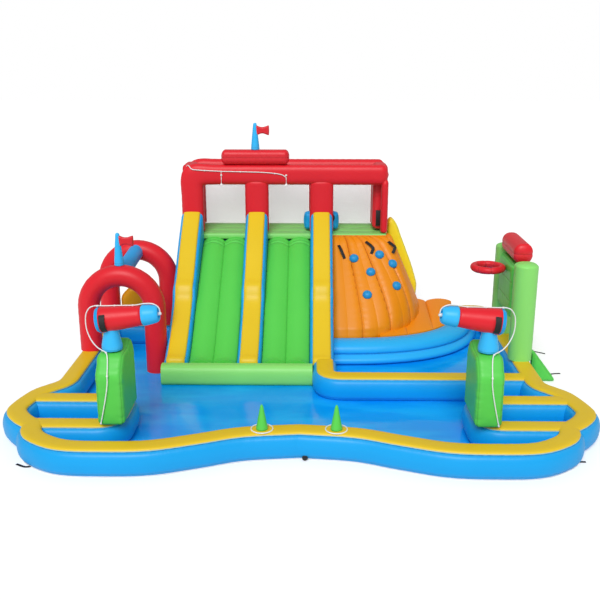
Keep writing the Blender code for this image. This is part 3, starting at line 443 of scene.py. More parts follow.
def stitch(made, seams, tuck=0.005, gather=0.0016):
    """Draws a mesh in along its seams, gathers it beside them and notes how near each seam is."""
    mesh = made.data
    count = len(mesh.vertices)
    place, normal = point_values(mesh, "co"), point_values(mesh, "normal")
    gap = np.full(count, 9.0)
    run = np.zeros(count)
    offset = 0.0
    for seam in seams:
        seam = np.asarray(seam, float)
        starts, spans = seam[:-1], np.diff(seam, axis=0)
        squares = np.maximum((spans ** 2).sum(axis=1), 1e-12)
        marks = measured(seam)[:-1] + offset
        offset += measured(seam)[-1] + 0.37
        for low in range(0, count, BATCH):
            batch = slice(low, low + BATCH)
            part = place[batch, None, :] - starts[None]
            share = np.clip((part * spans[None]).sum(axis=2) / squares, 0.0, 1.0)
            away = np.linalg.norm(part - share[..., None] * spans[None], axis=2)
            best = away.argmin(axis=1)
            rows = np.arange(len(best))
            near = away[rows, best]
            better = near < gap[batch]
            mark = marks[best] + share[rows, best] * np.sqrt(squares[best])
            gap[batch] = np.where(better, near, gap[batch])
            run[batch] = np.where(better, mark, run[batch])
    move = gather * np.exp(-gap / GATHER_REACH) * pucker(run) - tuck * np.exp(-(gap / TUCK_REACH) ** 2)
    place += normal * move[:, None]
    mesh.vertices.foreach_set("co", place.ravel())
    for name, values in (("seam_gap", gap), ("seam_run", run)):
        mesh.attributes.new(name, "FLOAT", "POINT").data.foreach_set("value", values.astype(np.float32))
    mesh.update()


def vinyl(name, colour, edge_highlight=None):
    """Coated fabric: a soft sheen, slightly uneven colour, and small folds that run out from the seams.
    Beside the seams a patchy paler tint is painted as highlight where the fabric bulges. Along its seams
    lies a painted shadow, or a narrow band of another colour painted as the highlight of the neighbouring
    tube's shoulder."""
    material, shader, wire, place = new_finish(name)
    gap = wire.node("ShaderNodeAttribute", {"attribute_name": "seam_gap"}, out="Fac")
    run = wire.node("ShaderNodeAttribute", {"attribute_name": "seam_run"}, out="Fac")
    cloud = noise(wire, place, 1.3, 2.0)
    mottle = noise(wire, place, 12.0, 3.0)
    beside = faded(wire, gap, 0.0, 0.060)
    groove = faded(wire, gap, 0.003, 0.015 if edge_highlight else 0.008)
    body = blend_colours(wire, cloud, toned(colour, 0.95), toned(colour, 1.05))
    # Painted highlight: within 6 cm of a seam the colour turns patchily paler, as if light caught the
    # bulging fabric.
    seam_highlight = blend_colours(wire, mottle * beside * 0.16, body, tuple(0.85 * c + 0.15 for c in colour))
    # In the seam itself: a painted shadow, or the painted pale edge highlight where one is given.
    blend_colours(wire, groove * (0.85 if edge_highlight else 0.38), seam_highlight, edge_highlight or toned(colour, 0.45)).drives(
        shader.inputs["Base Color"])
    (mottle * 0.10 + groove * 0.10 + 0.35).drives(shader.inputs["Roughness"])
    wander = noise(wire, place, 7.0, 1.0)
    folds = wire.sum_of("SINE", run * 150.0 + wander * 14.0)
    dents = noise(wire, place, 3.2, 1.0)
    weave = noise(wire, place, 420.0, 0.0)
    height = folds * beside * 0.0006 + dents * 0.005 + mottle * 0.0003 + weave * 0.00006
    dented(wire, shader, height, 0.8)
    shader.inputs["Specular IOR Level"].default_value = 0.32
    return material


BLUE_VINYL = vinyl("blue_vinyl_skin", BLUE)
STRIP_VINYL = vinyl("yellow_strip_skin", YELLOW, SHOULDER_HIGHLIGHT_BLUE)


def tube_outline(shares, width, height):
    """A closed, smooth section from its right half, which runs from the foot to the top."""
    right = smooth_line([(width * x, height * z) for x, z in shares], height / 20)
    left = right[::-1] * np.array([-1.0, 1.0])
    top = np.linspace(right[-1], left[0], 9)[1:-1]
    foot = np.linspace(left[-1], right[0], 7)[1:-1]
    return np.concatenate([right, top, left, foot])


def sewn_skin(name, grid, columns, material, cad_nodes, tuck=0.005, gather=0.0016):
    """A tube's skin from its grid of points, with seams along the given columns."""
    made = piece(name, grid.reshape(-1, 3), grid_faces(*grid.shape[:2]), material, cad_nodes)
    stitch(made, [grid[::2, column] for column in columns], tuck, gather)


def padded_strip(name, path, width, height, cad_nodes):
    """A yellow strip with a flat foot and a crowned top, sewn down along both edges."""
    turn = np.linspace(0.0, math.pi, 41)
    crown = np.stack([np.sign(np.cos(turn)) * np.abs(np.cos(turn)) ** 0.55 * width / 2,
                      np.sin(turn) ** 0.6 * height], axis=1)
    outline = np.concatenate([crown, np.linspace(crown[-1], crown[0], 9)[1:-1]])
    section, columns = section_ring(outline, [(width / 2, 0.0), (-width / 2, 0.0)], 0.02)
    sewn_skin(name, swept_grid(path, section), columns, STRIP_VINYL, cad_nodes,
              tuck=0.001, gather=0.0012)


def wall_and_strip(name, line, cad_walls, cad_strip, strip_line=None, sink=0.0):
    """A stretch of blue wall and the yellow strip that is sewn along its top."""
    outline = tube_outline(WALL_SHARES, WALL_WIDTH, WALL_HEIGHT)
    seams = [(sign * x * WALL_WIDTH, z * WALL_HEIGHT)
             for x, z in (WALL_SHARES[-1], WALL_SHARES[1]) for sign in (1, -1)]
    section, columns = section_ring(outline, seams)
    grid = swept_grid(on_ground(even(line, 0.028), WALL_FOOT), section)
    sewn_skin(name + "_tube", grid, columns, BLUE_VINYL, cad_walls)
    strip_line = line if strip_line is None else strip_line
    path = on_ground(even(strip_line, 0.028), WALL_TOP + GAP - sink)
    padded_strip(name + "_strip", path, CAP_WIDTH, CAP_HEIGHT + 0.004, cad_strip)


WING_REACH = 0.49
run = measured(RIM_LINE)
beside_wing = picked(RIM_LINE, np.linspace(0.0, run[-1] - WING_REACH, 300))
wall_and_strip("rim", RIM_LINE, ["wall_front", "wall_left", "wall_right"], ["wall_cap"], beside_wing)

# ---------------------------------------------------------------- Pocket walls and climbing-pool wall
# The same blue tube and yellow strip again: two short bends that close off a pocket under each
# cannon, and a longer one round the pool below the climbing wall. Their ends are sewn to the rim.

STAND_X = 1.88
REAR_BAND_Y = -FRONT_REACH * 0.518
FRONT_BAND_Y = -FRONT_REACH * 0.785
PARTITION_X = 0.28
SLIDE_FOOT_Y = -0.065
PARTITION_Y = SLIDE_FOOT_Y - 0.52
FRONT_RUN_POINTS = 60
STRIP_SINK = 0.004


def rim_x(sign, y):
    """Where the rim's lobe crosses a given y."""
    lobe = rim_side(sign)[FRONT_RUN_POINTS:]
    return float(lobe[int(np.argmin(np.abs(lobe[:, 1] - y))), 0])


for side, sign in (("left", -1), ("right", 1)):
    bend = [(rim_x(sign, REAR_BAND_Y), REAR_BAND_Y), (sign * STAND_X, REAR_BAND_Y),
            (sign * STAND_X, FRONT_BAND_Y), (rim_x(sign, FRONT_BAND_Y), FRONT_BAND_Y)]
    wall_and_strip("pocket_" + side, bent_line(bend, CORNER_RADIUS, 0.028), ["pocket_" + side],
                   ["pocket_" + side + "_cap"], sink=STRIP_SINK)
bend = [(PARTITION_X, SLIDE_FOOT_Y - 0.01), (PARTITION_X, PARTITION_Y), (SIDE_X, PARTITION_Y)]
wall_and_strip("climb_pool", bent_line(bend, CORNER_RADIUS, 0.028), ["partition"], ["partition_cap"],
               sink=STRIP_SINK)

# ---------------------------------------------------------------- Slides
# Three blue side walls with yellow strips that turn down over their front ends, and between them two
# green beds of two long air channels each, quilted across at the very top. A green roll lies across
# their feet. All are sewn from coated fabric, with the seams between channels welded underneath.

SIDE_WALL_XS = (-1.555, -0.655, 0.245)
LANE_WIDTH = 0.60
CHANNEL_DEPTH = 0.065
FLANK_POINTS = 12
SHOULDER_POINTS = 7
SHOULDER = 0.07
SLIDE_STRIP_WIDTH = 0.23
SLIDE_TOP_Y = 1.79
SLIDE_RUN = SLIDE_TOP_Y - SLIDE_FOOT_Y
SIDE_RISE = 1.73
SIDE_SHARES = [(0.0, 0.150), (0.06, 0.170), (0.20, 0.262), (0.42, 0.435),
               (0.48, 0.545), (0.56, 0.600), (0.80, 0.830), (1.0, 1.0)]
BED_RISE = 1.40
BED_SHARES = [(0.0, 0.18), (0.07, 0.195), (0.22, 0.31), (0.50, 0.58), (0.80, 0.86), (0.93, 0.97),
              (1.0, 1.0)]
GREEN = (0.10, 0.63, 0.080)
# A lighter copy of the green, as painted light: it stands for the broad light on the landing roll's top and
# on the goal posts' fronts.
LIT_GREEN = (0.27, 0.76, 0.17)
PALE_GREEN = (0.25, 0.70, 0.17)
GREEN_VINYL = vinyl("green_vinyl_skin", GREEN)
LIT_GREEN_VINYL = vinyl("lit_green_vinyl_skin", LIT_GREEN)
PALE_GREEN_VINYL = vinyl("pale_green_vinyl_skin", PALE_GREEN)


def slope(shares, rise, places):
    """Heights along the slide, smoothed between the measured ones."""
    table = smooth_line(shares, 0.01)
    return rise * np.interp(places, table[:, 0], table[:, 1])


def side_ring():
    """Round a side wall's section: across, share of its height, and rise above the shoulder."""
    half, inset = WALL_WIDTH / 2, 0.045
    up = [(half + 0.006 * math.sin(math.pi * s), s, 0.0) for s in np.linspace(0.0, 1.0, FLANK_POINTS)]
    turn = [(half - inset + inset * math.cos(a), 1.0, SHOULDER * math.sin(a))
            for a in np.linspace(0.15, math.pi / 2, SHOULDER_POINTS)]
    right = up + turn
    left = [(-x, s, d) for x, s, d in reversed(right)]
    flat = [(x, 1.0, SHOULDER) for x in np.linspace(0.09, -0.09, 7)]
    return np.array(right + flat + left)


flank = FLANK_POINTS + SHOULDER_POINTS
for name, x in zip(("left", "middle", "right"), SIDE_WALL_XS):
    joints = [0.60, 1.16]
    runs = stations(SLIDE_RUN - GAP, joints, 0.026)
    tops = slope(SIDE_SHARES, SIDE_RISE, runs / SLIDE_RUN)
    ring = side_ring()
    grid = np.zeros((len(runs), len(ring), 3))
    grid[:, :, 0] = x + ring[None, :, 0]
    grid[:, :, 1] = (SLIDE_FOOT_Y + runs)[:, None]
    flank_tops = tops[:, None] - SHOULDER
    grid[:, :, 2] = WALL_FOOT + (flank_tops - WALL_FOOT) * ring[None, :, 1] + ring[None, :, 2]
    wall = piece("slide_side_" + name, grid.reshape(-1, 3), grid_faces(len(runs), len(ring)),
                 BLUE_VINYL, ["slide_wall_" + name])
    cross = []
    for joint in joints:
        row = grid[int(np.argmin(np.abs(runs - joint)))]
        cross += [row[:flank], row[-flank:]]
    stitch(wall, cross + [grid[::2, flank - 1], grid[::2, -flank]])
    line = np.stack([np.full(len(runs), x), SLIDE_FOOT_Y + runs, tops + 2 * GAP], axis=1)
    turned_down = [(x, SLIDE_FOOT_Y - 0.008, tops[0] - 0.050), (x, SLIDE_FOOT_Y - 0.005, tops[0] - 0.020)]
    padded_strip("slide_strip_" + name, even(np.concatenate([turned_down, line]), 0.024),
                 SLIDE_STRIP_WIDTH, CAP_HEIGHT + 0.006, ["slide_wall_" + name + "_cap"])

for name, before, after in zip(("left", "right"), SIDE_WALL_XS, SIDE_WALL_XS[1:]):
    x = (before + after) / 2
    seams = [0.0, LANE_WIDTH / 2, LANE_WIDTH]
    quilting = [SLIDE_RUN - 0.13, SLIDE_RUN - 0.065]
    spots = stations(LANE_WIDTH, seams, 0.022)
    runs = stations(SLIDE_RUN - GAP, quilting, 0.026)
    crown = np.abs(np.sin(2 * math.pi * spots / LANE_WIDTH)) ** 0.8
    dips = sum(np.exp(-((runs - place) / 0.012) ** 2) for place in quilting)
    tops = slope(BED_SHARES, BED_RISE, runs / SLIDE_RUN) - 0.010 * dips
    columns = len(spots) + 2
    grid = np.zeros((len(runs), columns, 3))
    grid[:, :, 1] = (SLIDE_FOOT_Y + runs)[:, None]
    grid[:, :-2, 0] = x - LANE_WIDTH / 2 + spots
    grid[:, :-2, 2] = tops[:, None] - CHANNEL_DEPTH * (1 - crown)[None, :] + 0.004
    grid[:, -2, 0], grid[:, -1, 0] = x + LANE_WIDTH / 2, x - LANE_WIDTH / 2
    grid[:, -2:, 2] = WALL_FOOT
    bed = piece("slide_lane_" + name, grid.reshape(-1, 3), grid_faces(len(runs), columns),
                GREEN_VINYL, ["slide_bed_" + name])
    lines = [grid[::2, int(np.argmin(np.abs(spots - seam)))] for seam in seams]
    lines += [grid[int(np.argmin(np.abs(runs - place))), :-2] for place in quilting]
    stitch(bed, lines, gather=0.0022)


def oval(width, depth, power=2.0, count=72):
    """A closed rounded section, squarer for a higher power."""
    turn = np.linspace(0.0, 2 * math.pi, count, endpoint=False)
    c, s = np.cos(turn), np.sin(turn)
    return np.stack([np.sign(c) * np.abs(c) ** (2 / power) * width / 2,
                     np.sign(s) * np.abs(s) ** (2 / power) * depth / 2], axis=1)


def domed(run, start, end):
    """How much of its section a tube keeps at each place, rounded off over a length at either end."""
    total = run[-1]
    sizes = np.ones(len(run))
    for length, away in ((start, run), (end, total - run)):
        if length:
            depth = np.clip(1.0 - away / length, 0.0, 0.9995)
            sizes *= np.sqrt(1.0 - depth ** 2)
    return sizes


def bolster(name, line, section, material, cad_nodes, seams=(), ends=(0.0, 0.0),
            up=(0.0, 0.0, 1.0), step=0.026, tuck=0.005, gather=0.0018):
    """A padded tube along a line, with seams along it at given places of its section."""
    length = measured(line)[-1]
    runs = stations(length, (), step)
    for reach, toward in ((ends[0], 0.0), (ends[1], length)):
        if reach:
            extra = np.abs(toward - reach * (1.0 - np.cos(np.linspace(0.0, math.pi / 2, 9))))
            runs = np.unique(np.round(np.concatenate([runs, extra]), 5))
    ring, columns = section_ring(section, seams)
    grid = swept_grid(picked(line, runs), ring, up, domed(runs, ends[0], ends[1]))
    sewn_skin(name, grid, columns, material, cad_nodes, tuck, gather)


ROLL_SHARES = [(0.33, 0.0), (0.455, 0.12), (0.5, 0.36), (0.48, 0.66), (0.37, 0.89), (0.20, 1.0)]
low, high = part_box("landing_roll")
middle_y = (low.y + high.y) / 2
line = np.array([(low.x, middle_y, low.z), (high.x, middle_y, low.z)])
# The roll takes the lighter green copy, which is painted light.
bolster("landing_bolster", line, tube_outline(ROLL_SHARES, high.y - low.y, high.z - low.z),
        LIT_GREEN_VINYL, ["landing_roll"], seams=[(-0.076, 0.245)])

# ---------------------------------------------------------------- Tower block and deck
# A high blue air block carries the platform. Upright seams draw its back in to six channels. On top
# lies a pale green cushion of three level channels, welded at its rim, where the children stand.


def channelled(section, count, low, depth):
    """A section whose faces above a height and below its negative dip between even channels."""
    section = picked(section, np.linspace(0.0, measured(section)[-1], 400))
    width = 2 * section[:, 0].max()
    dips = 1.0 - np.abs(np.sin(math.pi * count * (section[:, 0] / width + 0.5))) ** 0.6
    inner = np.abs(section[:, 0]) < width * (0.5 - 0.3 / count)
    section[:, 1] -= np.sign(section[:, 1]) * dips * depth * (np.abs(section[:, 1]) > low) * inner
    return section


def middle_of(node):
    """The middle, the size and the low corner of a CAD solid's box."""
    low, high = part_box(node)
    return (low + high) / 2, high - low, low


BLOCK_CHANNELS, BLOCK_DIP = 6, 0.030
centre, size, low = middle_of("tower_base")
line = np.array([(centre.x, centre.y, low.z), (centre.x, centre.y, low.z + size.z)])
section = channelled(oval(size.x, size.y, 9.0, 240), BLOCK_CHANNELS, size.y * 0.4, BLOCK_DIP)
bolster("tower_block", line, section, BLUE_VINYL, ["tower_base"], ends=(0.05, 0.05),
        up=(0.0, 1.0, 0.0), step=0.03,
        seams=[(size.x * (k / BLOCK_CHANNELS - 0.5), size.y / 2 - BLOCK_DIP)
               for k in range(1, BLOCK_CHANNELS)])
DECK_CHANNELS, DECK_DIP = 3, 0.016
centre, size, low = middle_of("platform_deck")
line = np.array([(low.x, centre.y, centre.z), (low.x + size.x, centre.y, centre.z)])
section = channelled(oval(size.y, size.z, 9.0, 160), DECK_CHANNELS, size.z * 0.4, DECK_DIP)
bolster("deck_cushion", line, section, PALE_GREEN_VINYL, ["platform_deck"],
        ends=(0.03, 0.03), step=0.03,
        seams=[(size.y * (k / DECK_CHANNELS - 0.5), size.z / 2 - DECK_DIP)
               for k in range(1, DECK_CHANNELS)])

# ---------------------------------------------------------------- Tower frame
# Red air tubes: one bends from the left corner into the front beam, others stand below it and behind.
# The sides are flat padded panels, pale nets fill the back, and a blue cushion splits the entries.

RED = (0.76, 0.014, 0.026)
RED_VINYL = vinyl("red_vinyl_skin", RED)
POST_FOOT = 1.4506
BEAM_LOW = 2.13
TOWER_TOP = 2.40
TUBE_DEPTH = 0.20
BEAM_HEIGHT = 0.278
BEAM_BEND = 0.21
CORNER_PUSH = 0.06


def frame_side(name, cad_node, y, width, posts, right_end):
    """A beam that bends down into its wider left post, and the posts that stand under it."""
    corner_x, beam_z = TOWER_LEFT_X + width / 2, TOWER_TOP - BEAM_HEIGHT / 2
    line = bent_line([(corner_x, y, POST_FOOT), (corner_x, y, beam_z), (right_end, y, beam_z)],
                     BEAM_BEND, 0.026)
    run = measured(line)
    height = TOWER_TOP - POST_FOOT
    share = np.interp(run, [height - 0.35, height + 0.10], [1.0, BEAM_HEIGHT / width])
    section = oval(width, TUBE_DEPTH, 2.8)
    ring, columns = section_ring(section, [(width / 2, 0.0), (-width / 2, 0.0)])
    grid = swept_grid(line, ring, (0.0, 1.0, 0.0), share * domed(run, 0.03, 0.10))
    depth_fix = (y - grid[:, :, 1]) * (1.0 - 1.0 / share[:, None])
    grid[:, :, 1] += depth_fix * 0.8
    outward = np.array([-1.0, 0.0, 1.0]) / math.sqrt(2.0)
    beyond = np.clip((grid - line[:, None, :]) @ outward / (width / 2), 0.0, 1.0)
    bend = np.exp(-((run - (height - 0.18)) / 0.13) ** 2)
    grid += (CORNER_PUSH * bend[:, None] * beyond)[:, :, None] * outward
    sewn_skin(name + "_beam", grid, columns, RED_VINYL, [cad_node], gather=0.0025)
    for i, (low, high) in enumerate(posts):
        middle = (low + high) / 2
        line = np.array([(middle, y, POST_FOOT), (middle, y, BEAM_LOW + 0.09)])
        bolster(name + "_post_" + str(i + 1), line, oval(high - low, TUBE_DEPTH - 0.012, 2.8), RED_VINYL,
                [cad_node], seams=[((high - low) / 2, 0.0), (-(high - low) / 2, 0.0)],
                ends=(0.03, 0.09), up=(0.0, 1.0, 0.0), gather=0.0015)


frame_side("frame_front", "tower_front", 1.89, 0.31, [(-0.82, -0.49), (0.08, 0.41), (1.07, 1.17)], 1.17)
frame_side("frame_back", "tower_back", 2.49, 0.26, [(-0.835, -0.555), (0.065, 0.345), (0.97, 1.17)], 1.17)


def applied(made):
    """Makes what the modifiers do part of the mesh."""
    graph = bpy.context.evaluated_depsgraph_get()
    mesh = bpy.data.meshes.new_from_object(made.evaluated_get(graph))
    made.modifiers.clear()
    made.data = mesh


def drawn_in(outline, amount):
    """A closed outline moved inwards by a small amount."""
    into = outline - np.roll(outline, 1, axis=0)
    away = np.roll(outline, -1, axis=0) - outline
    into /= np.linalg.norm(into, axis=1)[:, None]
    away /= np.linalg.norm(away, axis=1)[:, None]
    first = np.stack([-into[:, 1], into[:, 0]], axis=1)
    second = np.stack([-away[:, 1], away[:, 0]], axis=1)
    mitre = (first + second) / np.maximum(0.3, 1.0 + (first * second).sum(axis=1))[:, None]
    return outline + mitre * amount * np.sign(signed_area(outline))


def rounded_off(outline, radius):
    """A closed outline with its corners rounded."""
    pts = np.asarray(outline, float)
    out = []
    t = np.linspace(0.0, 1.0, 7)[:, None]
    for before, corner, after in zip(np.roll(pts, 1, axis=0), pts, np.roll(pts, -1, axis=0)):
        first, second = before - corner, after - corner
        cut = min(radius, 0.45 * np.linalg.norm(first), 0.45 * np.linalg.norm(second))
        into = corner + first / np.linalg.norm(first) * cut
        away = corner + second / np.linalg.norm(second) * cut
        out.append(into * (1 - t) ** 2 + corner * 2 * t * (1 - t) + away * t ** 2)
    return np.concatenate(out)


def blown_up(made, reach):
    """Lets air pressure round a cushion's fabric as cloth, each point moving no further than the reach."""
    before = point_values(made.data, "co")
    cloth = made.modifiers.new("air", "CLOTH")
    cloth.settings.use_pressure = True
    cloth.settings.uniform_pressure_force = 4.0
    cloth.settings.effector_weights.gravity = 0.0
    for number in range(1, 16):
        bpy.context.scene.frame_set(number)
    graph = bpy.context.evaluated_depsgraph_get()
    after = point_values(made.evaluated_get(graph).data, "co")
    made.modifiers.clear()
    bpy.context.scene.frame_set(1)
    move = after - before
    length = np.maximum(np.linalg.norm(move, axis=1), 1e-9)
    move *= np.minimum(1.0, reach / length)[:, None]
    made.data.vertices.foreach_set("co", (before + move).ravel())
    made.data.update()


def puffed(name, outline, thick, place, material, cad_nodes, edge=0.05, corner=0.06, rise=0.010,
           voxel=0.017, lines=(), tuck=0.005, gather=0.0018, smooth=6):
    """A cushion cut from two faces and a band, rounded by its air and sewn round both rims."""
    outline = rounded_off(outline, corner)
    small = drawn_in(outline, rise * 0.7)
    shell = bmesh.new()
    front = shell.faces.new([shell.verts.new((x, -thick / 2 + rise * 0.7, z)) for x, z in small])
    side = bmesh.ops.extrude_face_region(shell, geom=[front])
    moved = [item for item in side["geom"] if isinstance(item, bmesh.types.BMVert)]
    bmesh.ops.translate(shell, verts=moved, vec=(0.0, thick - 1.4 * rise, 0.0))
    rims = [e for e in shell.edges if abs(e.verts[0].co.y - e.verts[1].co.y) < 1e-6]
    bmesh.ops.recalc_face_normals(shell, faces=shell.faces)
    bmesh.ops.bevel(shell, geom=rims, offset=edge, segments=5, profile=0.5, affect="EDGES",
                    clamp_overlap=True)
    bmesh.ops.triangulate(shell, faces=[f for f in shell.faces if len(f.verts) > 4])
    mesh = bpy.data.meshes.new(name)
    shell.to_mesh(mesh)
    shell.free()
    mesh.transform(place)
    made = bpy.data.objects.new(name, mesh)
    bpy.context.scene.collection.objects.link(made)
    remesh = made.modifiers.new("even_cloth", "REMESH")
    remesh.mode = "VOXEL"
    remesh.voxel_size = voxel
    soften = made.modifiers.new("soft", "SMOOTH")
    soften.iterations = smooth
    soften.factor = 0.5
    applied(made)
    blown_up(made, rise)
    made.modifiers.new("finer", "SUBSURF").levels = 1
    applied(made)
    settle(made, material, cad_nodes)
    near = drawn_in(outline, edge * 0.3)
    rims = [[(x, y, z) for x, z in np.concatenate([near, near[:1]])]
            for y in (-thick / 2 + edge * 0.3, thick / 2 - edge * 0.3)]
    seams = []
    for line in rims + list(lines):
        spots = even([place @ Vector(point) for point in line], 0.03)
        seams.append(np.array([made.closest_point_on_mesh(point)[1] for point in spots.tolist()]))
    stitch(made, seams, tuck, gather)


def standing(x, y, z, turn_deg=0.0):
    return Matrix.Translation((x, y, z)) @ Matrix.Rotation(math.radians(turn_deg), 4, "Z")


def box_shape(width, height):
    return [(-width / 2, 0.0), (width / 2, 0.0), (width / 2, height), (-width / 2, height)]


for side in ("left", "right"):
    centre, size, low = middle_of("tower_side_" + side)
    puffed("frame_panel_" + side, box_shape(size.y, size.z), size.x,
           standing(centre.x, centre.y, low.z, 90), RED_VINYL, ["tower_side_" + side],
           edge=0.06)
centre, size, low = middle_of("platform_divider")
puffed("entry_divider", box_shape(size.x, size.z), size.y, standing(centre.x, centre.y, low.z),
       BLUE_VINYL, ["platform_divider"], rise=0.008)


def across_and_up(wire, place):
    """The X and the Z of a place."""
    across = wire.node("ShaderNodeSeparateXYZ", {}, {"Vector": place}, out="X")
    return across, Wire(wire.tree, across.socket.node.outputs["Z"])


def net_material():
    """White net: fine square holes, paler woven borders, and faint level lines where it is folded."""
    material, shader, wire, place = new_finish("pale_net")
    across, height = across_and_up(wire, place)
    upright, level = wire.sum_of("SINE", across * 900.0), wire.sum_of("SINE", height * 900.0)
    threads = wire.sum_of("MAXIMUM", upright, level)
    creases = wire.sum_of("SINE", height * 46.0 + noise(wire, place, 2.0) * 3.0)
    folds = faded(wire, creases, 0.80, 1.0, 0.0, 1.0)
    gap = wire.node("ShaderNodeAttribute", {"attribute_name": "seam_gap"}, out="Fac")
    tone = blend_colours(wire, folds * 0.20, (0.70, 0.70, 0.71), (0.84, 0.84, 0.84))
    blend_colours(wire, faded(wire, gap, 0.02, 0.035), tone, (0.86, 0.87, 0.87)).drives(
        shader.inputs["Base Color"])
    faded(wire, threads, 0.0, 0.5, 0.30, 0.62).drives(shader.inputs["Alpha"])
    dented(wire, shader, threads * 0.0004 + folds * 0.002, 0.6)
    shader.inputs["Roughness"].default_value = 0.7
    return material


NET = net_material()
for side in ("left", "middle", "right"):
    centre, size, low = middle_of("mesh_window_" + side)
    xs = np.linspace(-size.x / 2, size.x / 2, 36)
    zs = np.linspace(0.0, size.z, 40)
    across, up = np.meshgrid(xs, zs)
    bow = 0.012 * np.cos(math.pi * across / size.x) * np.sin(math.pi * up / size.z)
    points = np.stack([centre.x + across, centre.y - bow, low.z + up], axis=2)
    net = piece("net_" + side, points.reshape(-1, 3), grid_faces(*up.shape, lids=False, loop=False), NET,
                ["mesh_window_" + side])
    border = np.concatenate([points[:, 0], points[-1], points[::-1, -1], points[0, ::-1]])
    stitch(net, [border], tuck=0.0, gather=0.0)

# ---------------------------------------------------------------- Cushion and flags
# A red bolster lies on the beam. A blue cone stands on it, and another on the front arch, each with
# a padded red pennant that is pinched in the middle like a bow.

ARCH_MIDDLE_X = -2.2503
FRONT_ARCH_Y = 0.25
PENNANT_HEIGHT = 0.155
PENNANT_LENGTH = 0.20
PENNANT_WAIST = 0.60
SKY_BLUE_VINYL = vinyl("sky_blue_vinyl_skin", (0.035, 0.50, 0.97))
centre, size, low = middle_of("sign_cushion")
line = np.array([(low.x, centre.y, centre.z), (low.x + size.x, centre.y, centre.z)])
bolster("top_bolster", line, oval(size.y, size.z, 3.2), RED_VINYL, ["sign_cushion"],
        seams=[(size.y / 2, 0.0), (-size.y / 2, 0.0)], ends=(0.06, 0.06), tuck=0.003, gather=0.003)


def turned(name, profile, place, material, cad_nodes, body="park", joints=(), sides=40, step=0.02,
           tuck=0.003, gather=0.0015):
    """A round padded piece: its radius at each height, a seam up its back and seams round it at the
    given heights."""
    profile = np.asarray(profile, float)
    run = measured(profile)
    marks = [float(np.interp(joint, profile[:, 1], run)) for joint in joints]
    spots = picked(profile, stations(run[-1], marks, step))
    angle = np.linspace(0.0, 2 * math.pi, sides, endpoint=False)
    grid = np.zeros((len(spots), sides, 3))
    grid[:, :, 0] = spots[:, :1] * np.cos(angle)
    grid[:, :, 1] = spots[:, :1] * np.sin(angle)
    grid[:, :, 2] = spots[:, 1:]
    flat = np.concatenate([grid.reshape(-1, 3), np.ones((len(spots) * sides, 1))], axis=1)
    points = (flat @ np.array(place).T)[:, :3]
    made = piece(name, points, grid_faces(len(spots), sides), material, cad_nodes, body)
    rows = points.reshape(len(spots), sides, 3)
    rings = []
    for joint in joints:
        row = rows[int(np.argmin(np.abs(spots[:, 1] - joint)))]
        rings.append(np.concatenate([row, row[:1]]))
    stitch(made, rings + [rows[:, sides // 4]], tuck, gather)


def flag(name, cad_node, x, y, base, height):
    cone = [(0.052, 0.0), (0.060, 0.012), (0.024, height - 0.010), (0.014, height)]
    turned(name + "_cone", cone, standing(x, y, base), SKY_BLUE_VINYL, [cad_node],
           joints=[0.03], tuck=0.002)
    top, long = height - 0.022, PENNANT_LENGTH
    low, waist = top - PENNANT_HEIGHT, PENNANT_HEIGHT * PENNANT_WAIST / 2
    middle = (top + low) / 2
    shape = [(0.0, low), (long / 2, middle - waist), (long, low), (long, top), (long / 2, middle + waist),
             (0.0, top)]
    puffed(name + "_pennant", shape, 0.05, standing(x, y, base), RED_VINYL, [cad_node],
           edge=0.018, corner=0.025, rise=0.004, voxel=0.007, tuck=0.002, gather=0.001, smooth=3)


flag("tower_pennant", "tower_flag", -0.67, 1.90, 2.6006, 0.36)
flag("arch_pennant", "arch_flag", ARCH_MIDDLE_X, FRONT_ARCH_Y, 1.375, 0.405)

# ---------------------------------------------------------------- Climbing wall
# A quarter-round orange wall of five upright air channels that leans back against the tower. Each has
# a shallow crease down its middle and a rounded top, and two level folds run round near the foot. Six
# blue grips are sewn on.

ORANGE = (0.86, 0.27, 0.002)
ORANGE_VINYL = vinyl("orange_vinyl_skin", ORANGE)
BACK_FACE_Y = BACK_WALL_Y - WALL_WIDTH / 2 - GAP
CLIMB_CENTRE_Y = SLIDE_TOP_Y + 0.345
CLIMB_LEFT_X = 0.3953
CLIMB_TOP = 1.43
CLIMB_REACH_X = 1.30
CLIMB_REACH_Y = 1.39
CLIMB_SQUARENESS = 2.6
CLIMB_LEVELS = [(0.0, 0.0), (0.20, 0.0), (0.27, 0.04), (0.50, 0.34), (0.75, 0.67), (1.0, 1.0)]
HOLD_SHARES = [(0.30, 0.82), (0.58, 0.85), (0.41, 0.71), (0.63, 0.77), (0.30, 0.53), (0.55, 0.59)]
CLIMB_CHANNELS = 5


def quarter_point(share, reach_x, reach_y, power, height):
    """A point on a squared-off quarter ellipse that ends at the back wall's face."""
    last_y = CLIMB_CENTRE_Y - BACK_FACE_Y
    last_x = reach_x * (1 - (last_y / reach_y) ** power) ** (1 / power)
    angle = np.arctan2(last_x, last_y) * share
    across, front = np.sin(angle), np.cos(angle)
    radius = ((across / reach_x) ** power + (front / reach_y) ** power) ** (-1 / power)
    return np.array([CLIMB_LEFT_X + radius * across, CLIMB_CENTRE_Y - radius * front, height])


def climb_point(share, height, inset=0.0):
    """A point of the wall at a share of the turn and of the height; it narrows as it leans back."""
    table = np.array(CLIMB_LEVELS)
    lean = float(np.interp(height, table[:, 0], table[:, 1]))
    reach_x = CLIMB_REACH_X - 0.47 * lean - inset
    reach_y = CLIMB_REACH_Y - 0.945 * lean - inset
    return quarter_point(share, reach_x, reach_y, CLIMB_SQUARENESS + 5.4 * lean, CLIMB_TOP * height)


def way_round(height):
    """Shares of the turn, and how much of the way round the wall each one lies at."""
    turns = np.linspace(0.0, 1.0, 121)
    run = measured(np.array([climb_point(turn, height) for turn in turns]))
    return turns, run / run[-1]


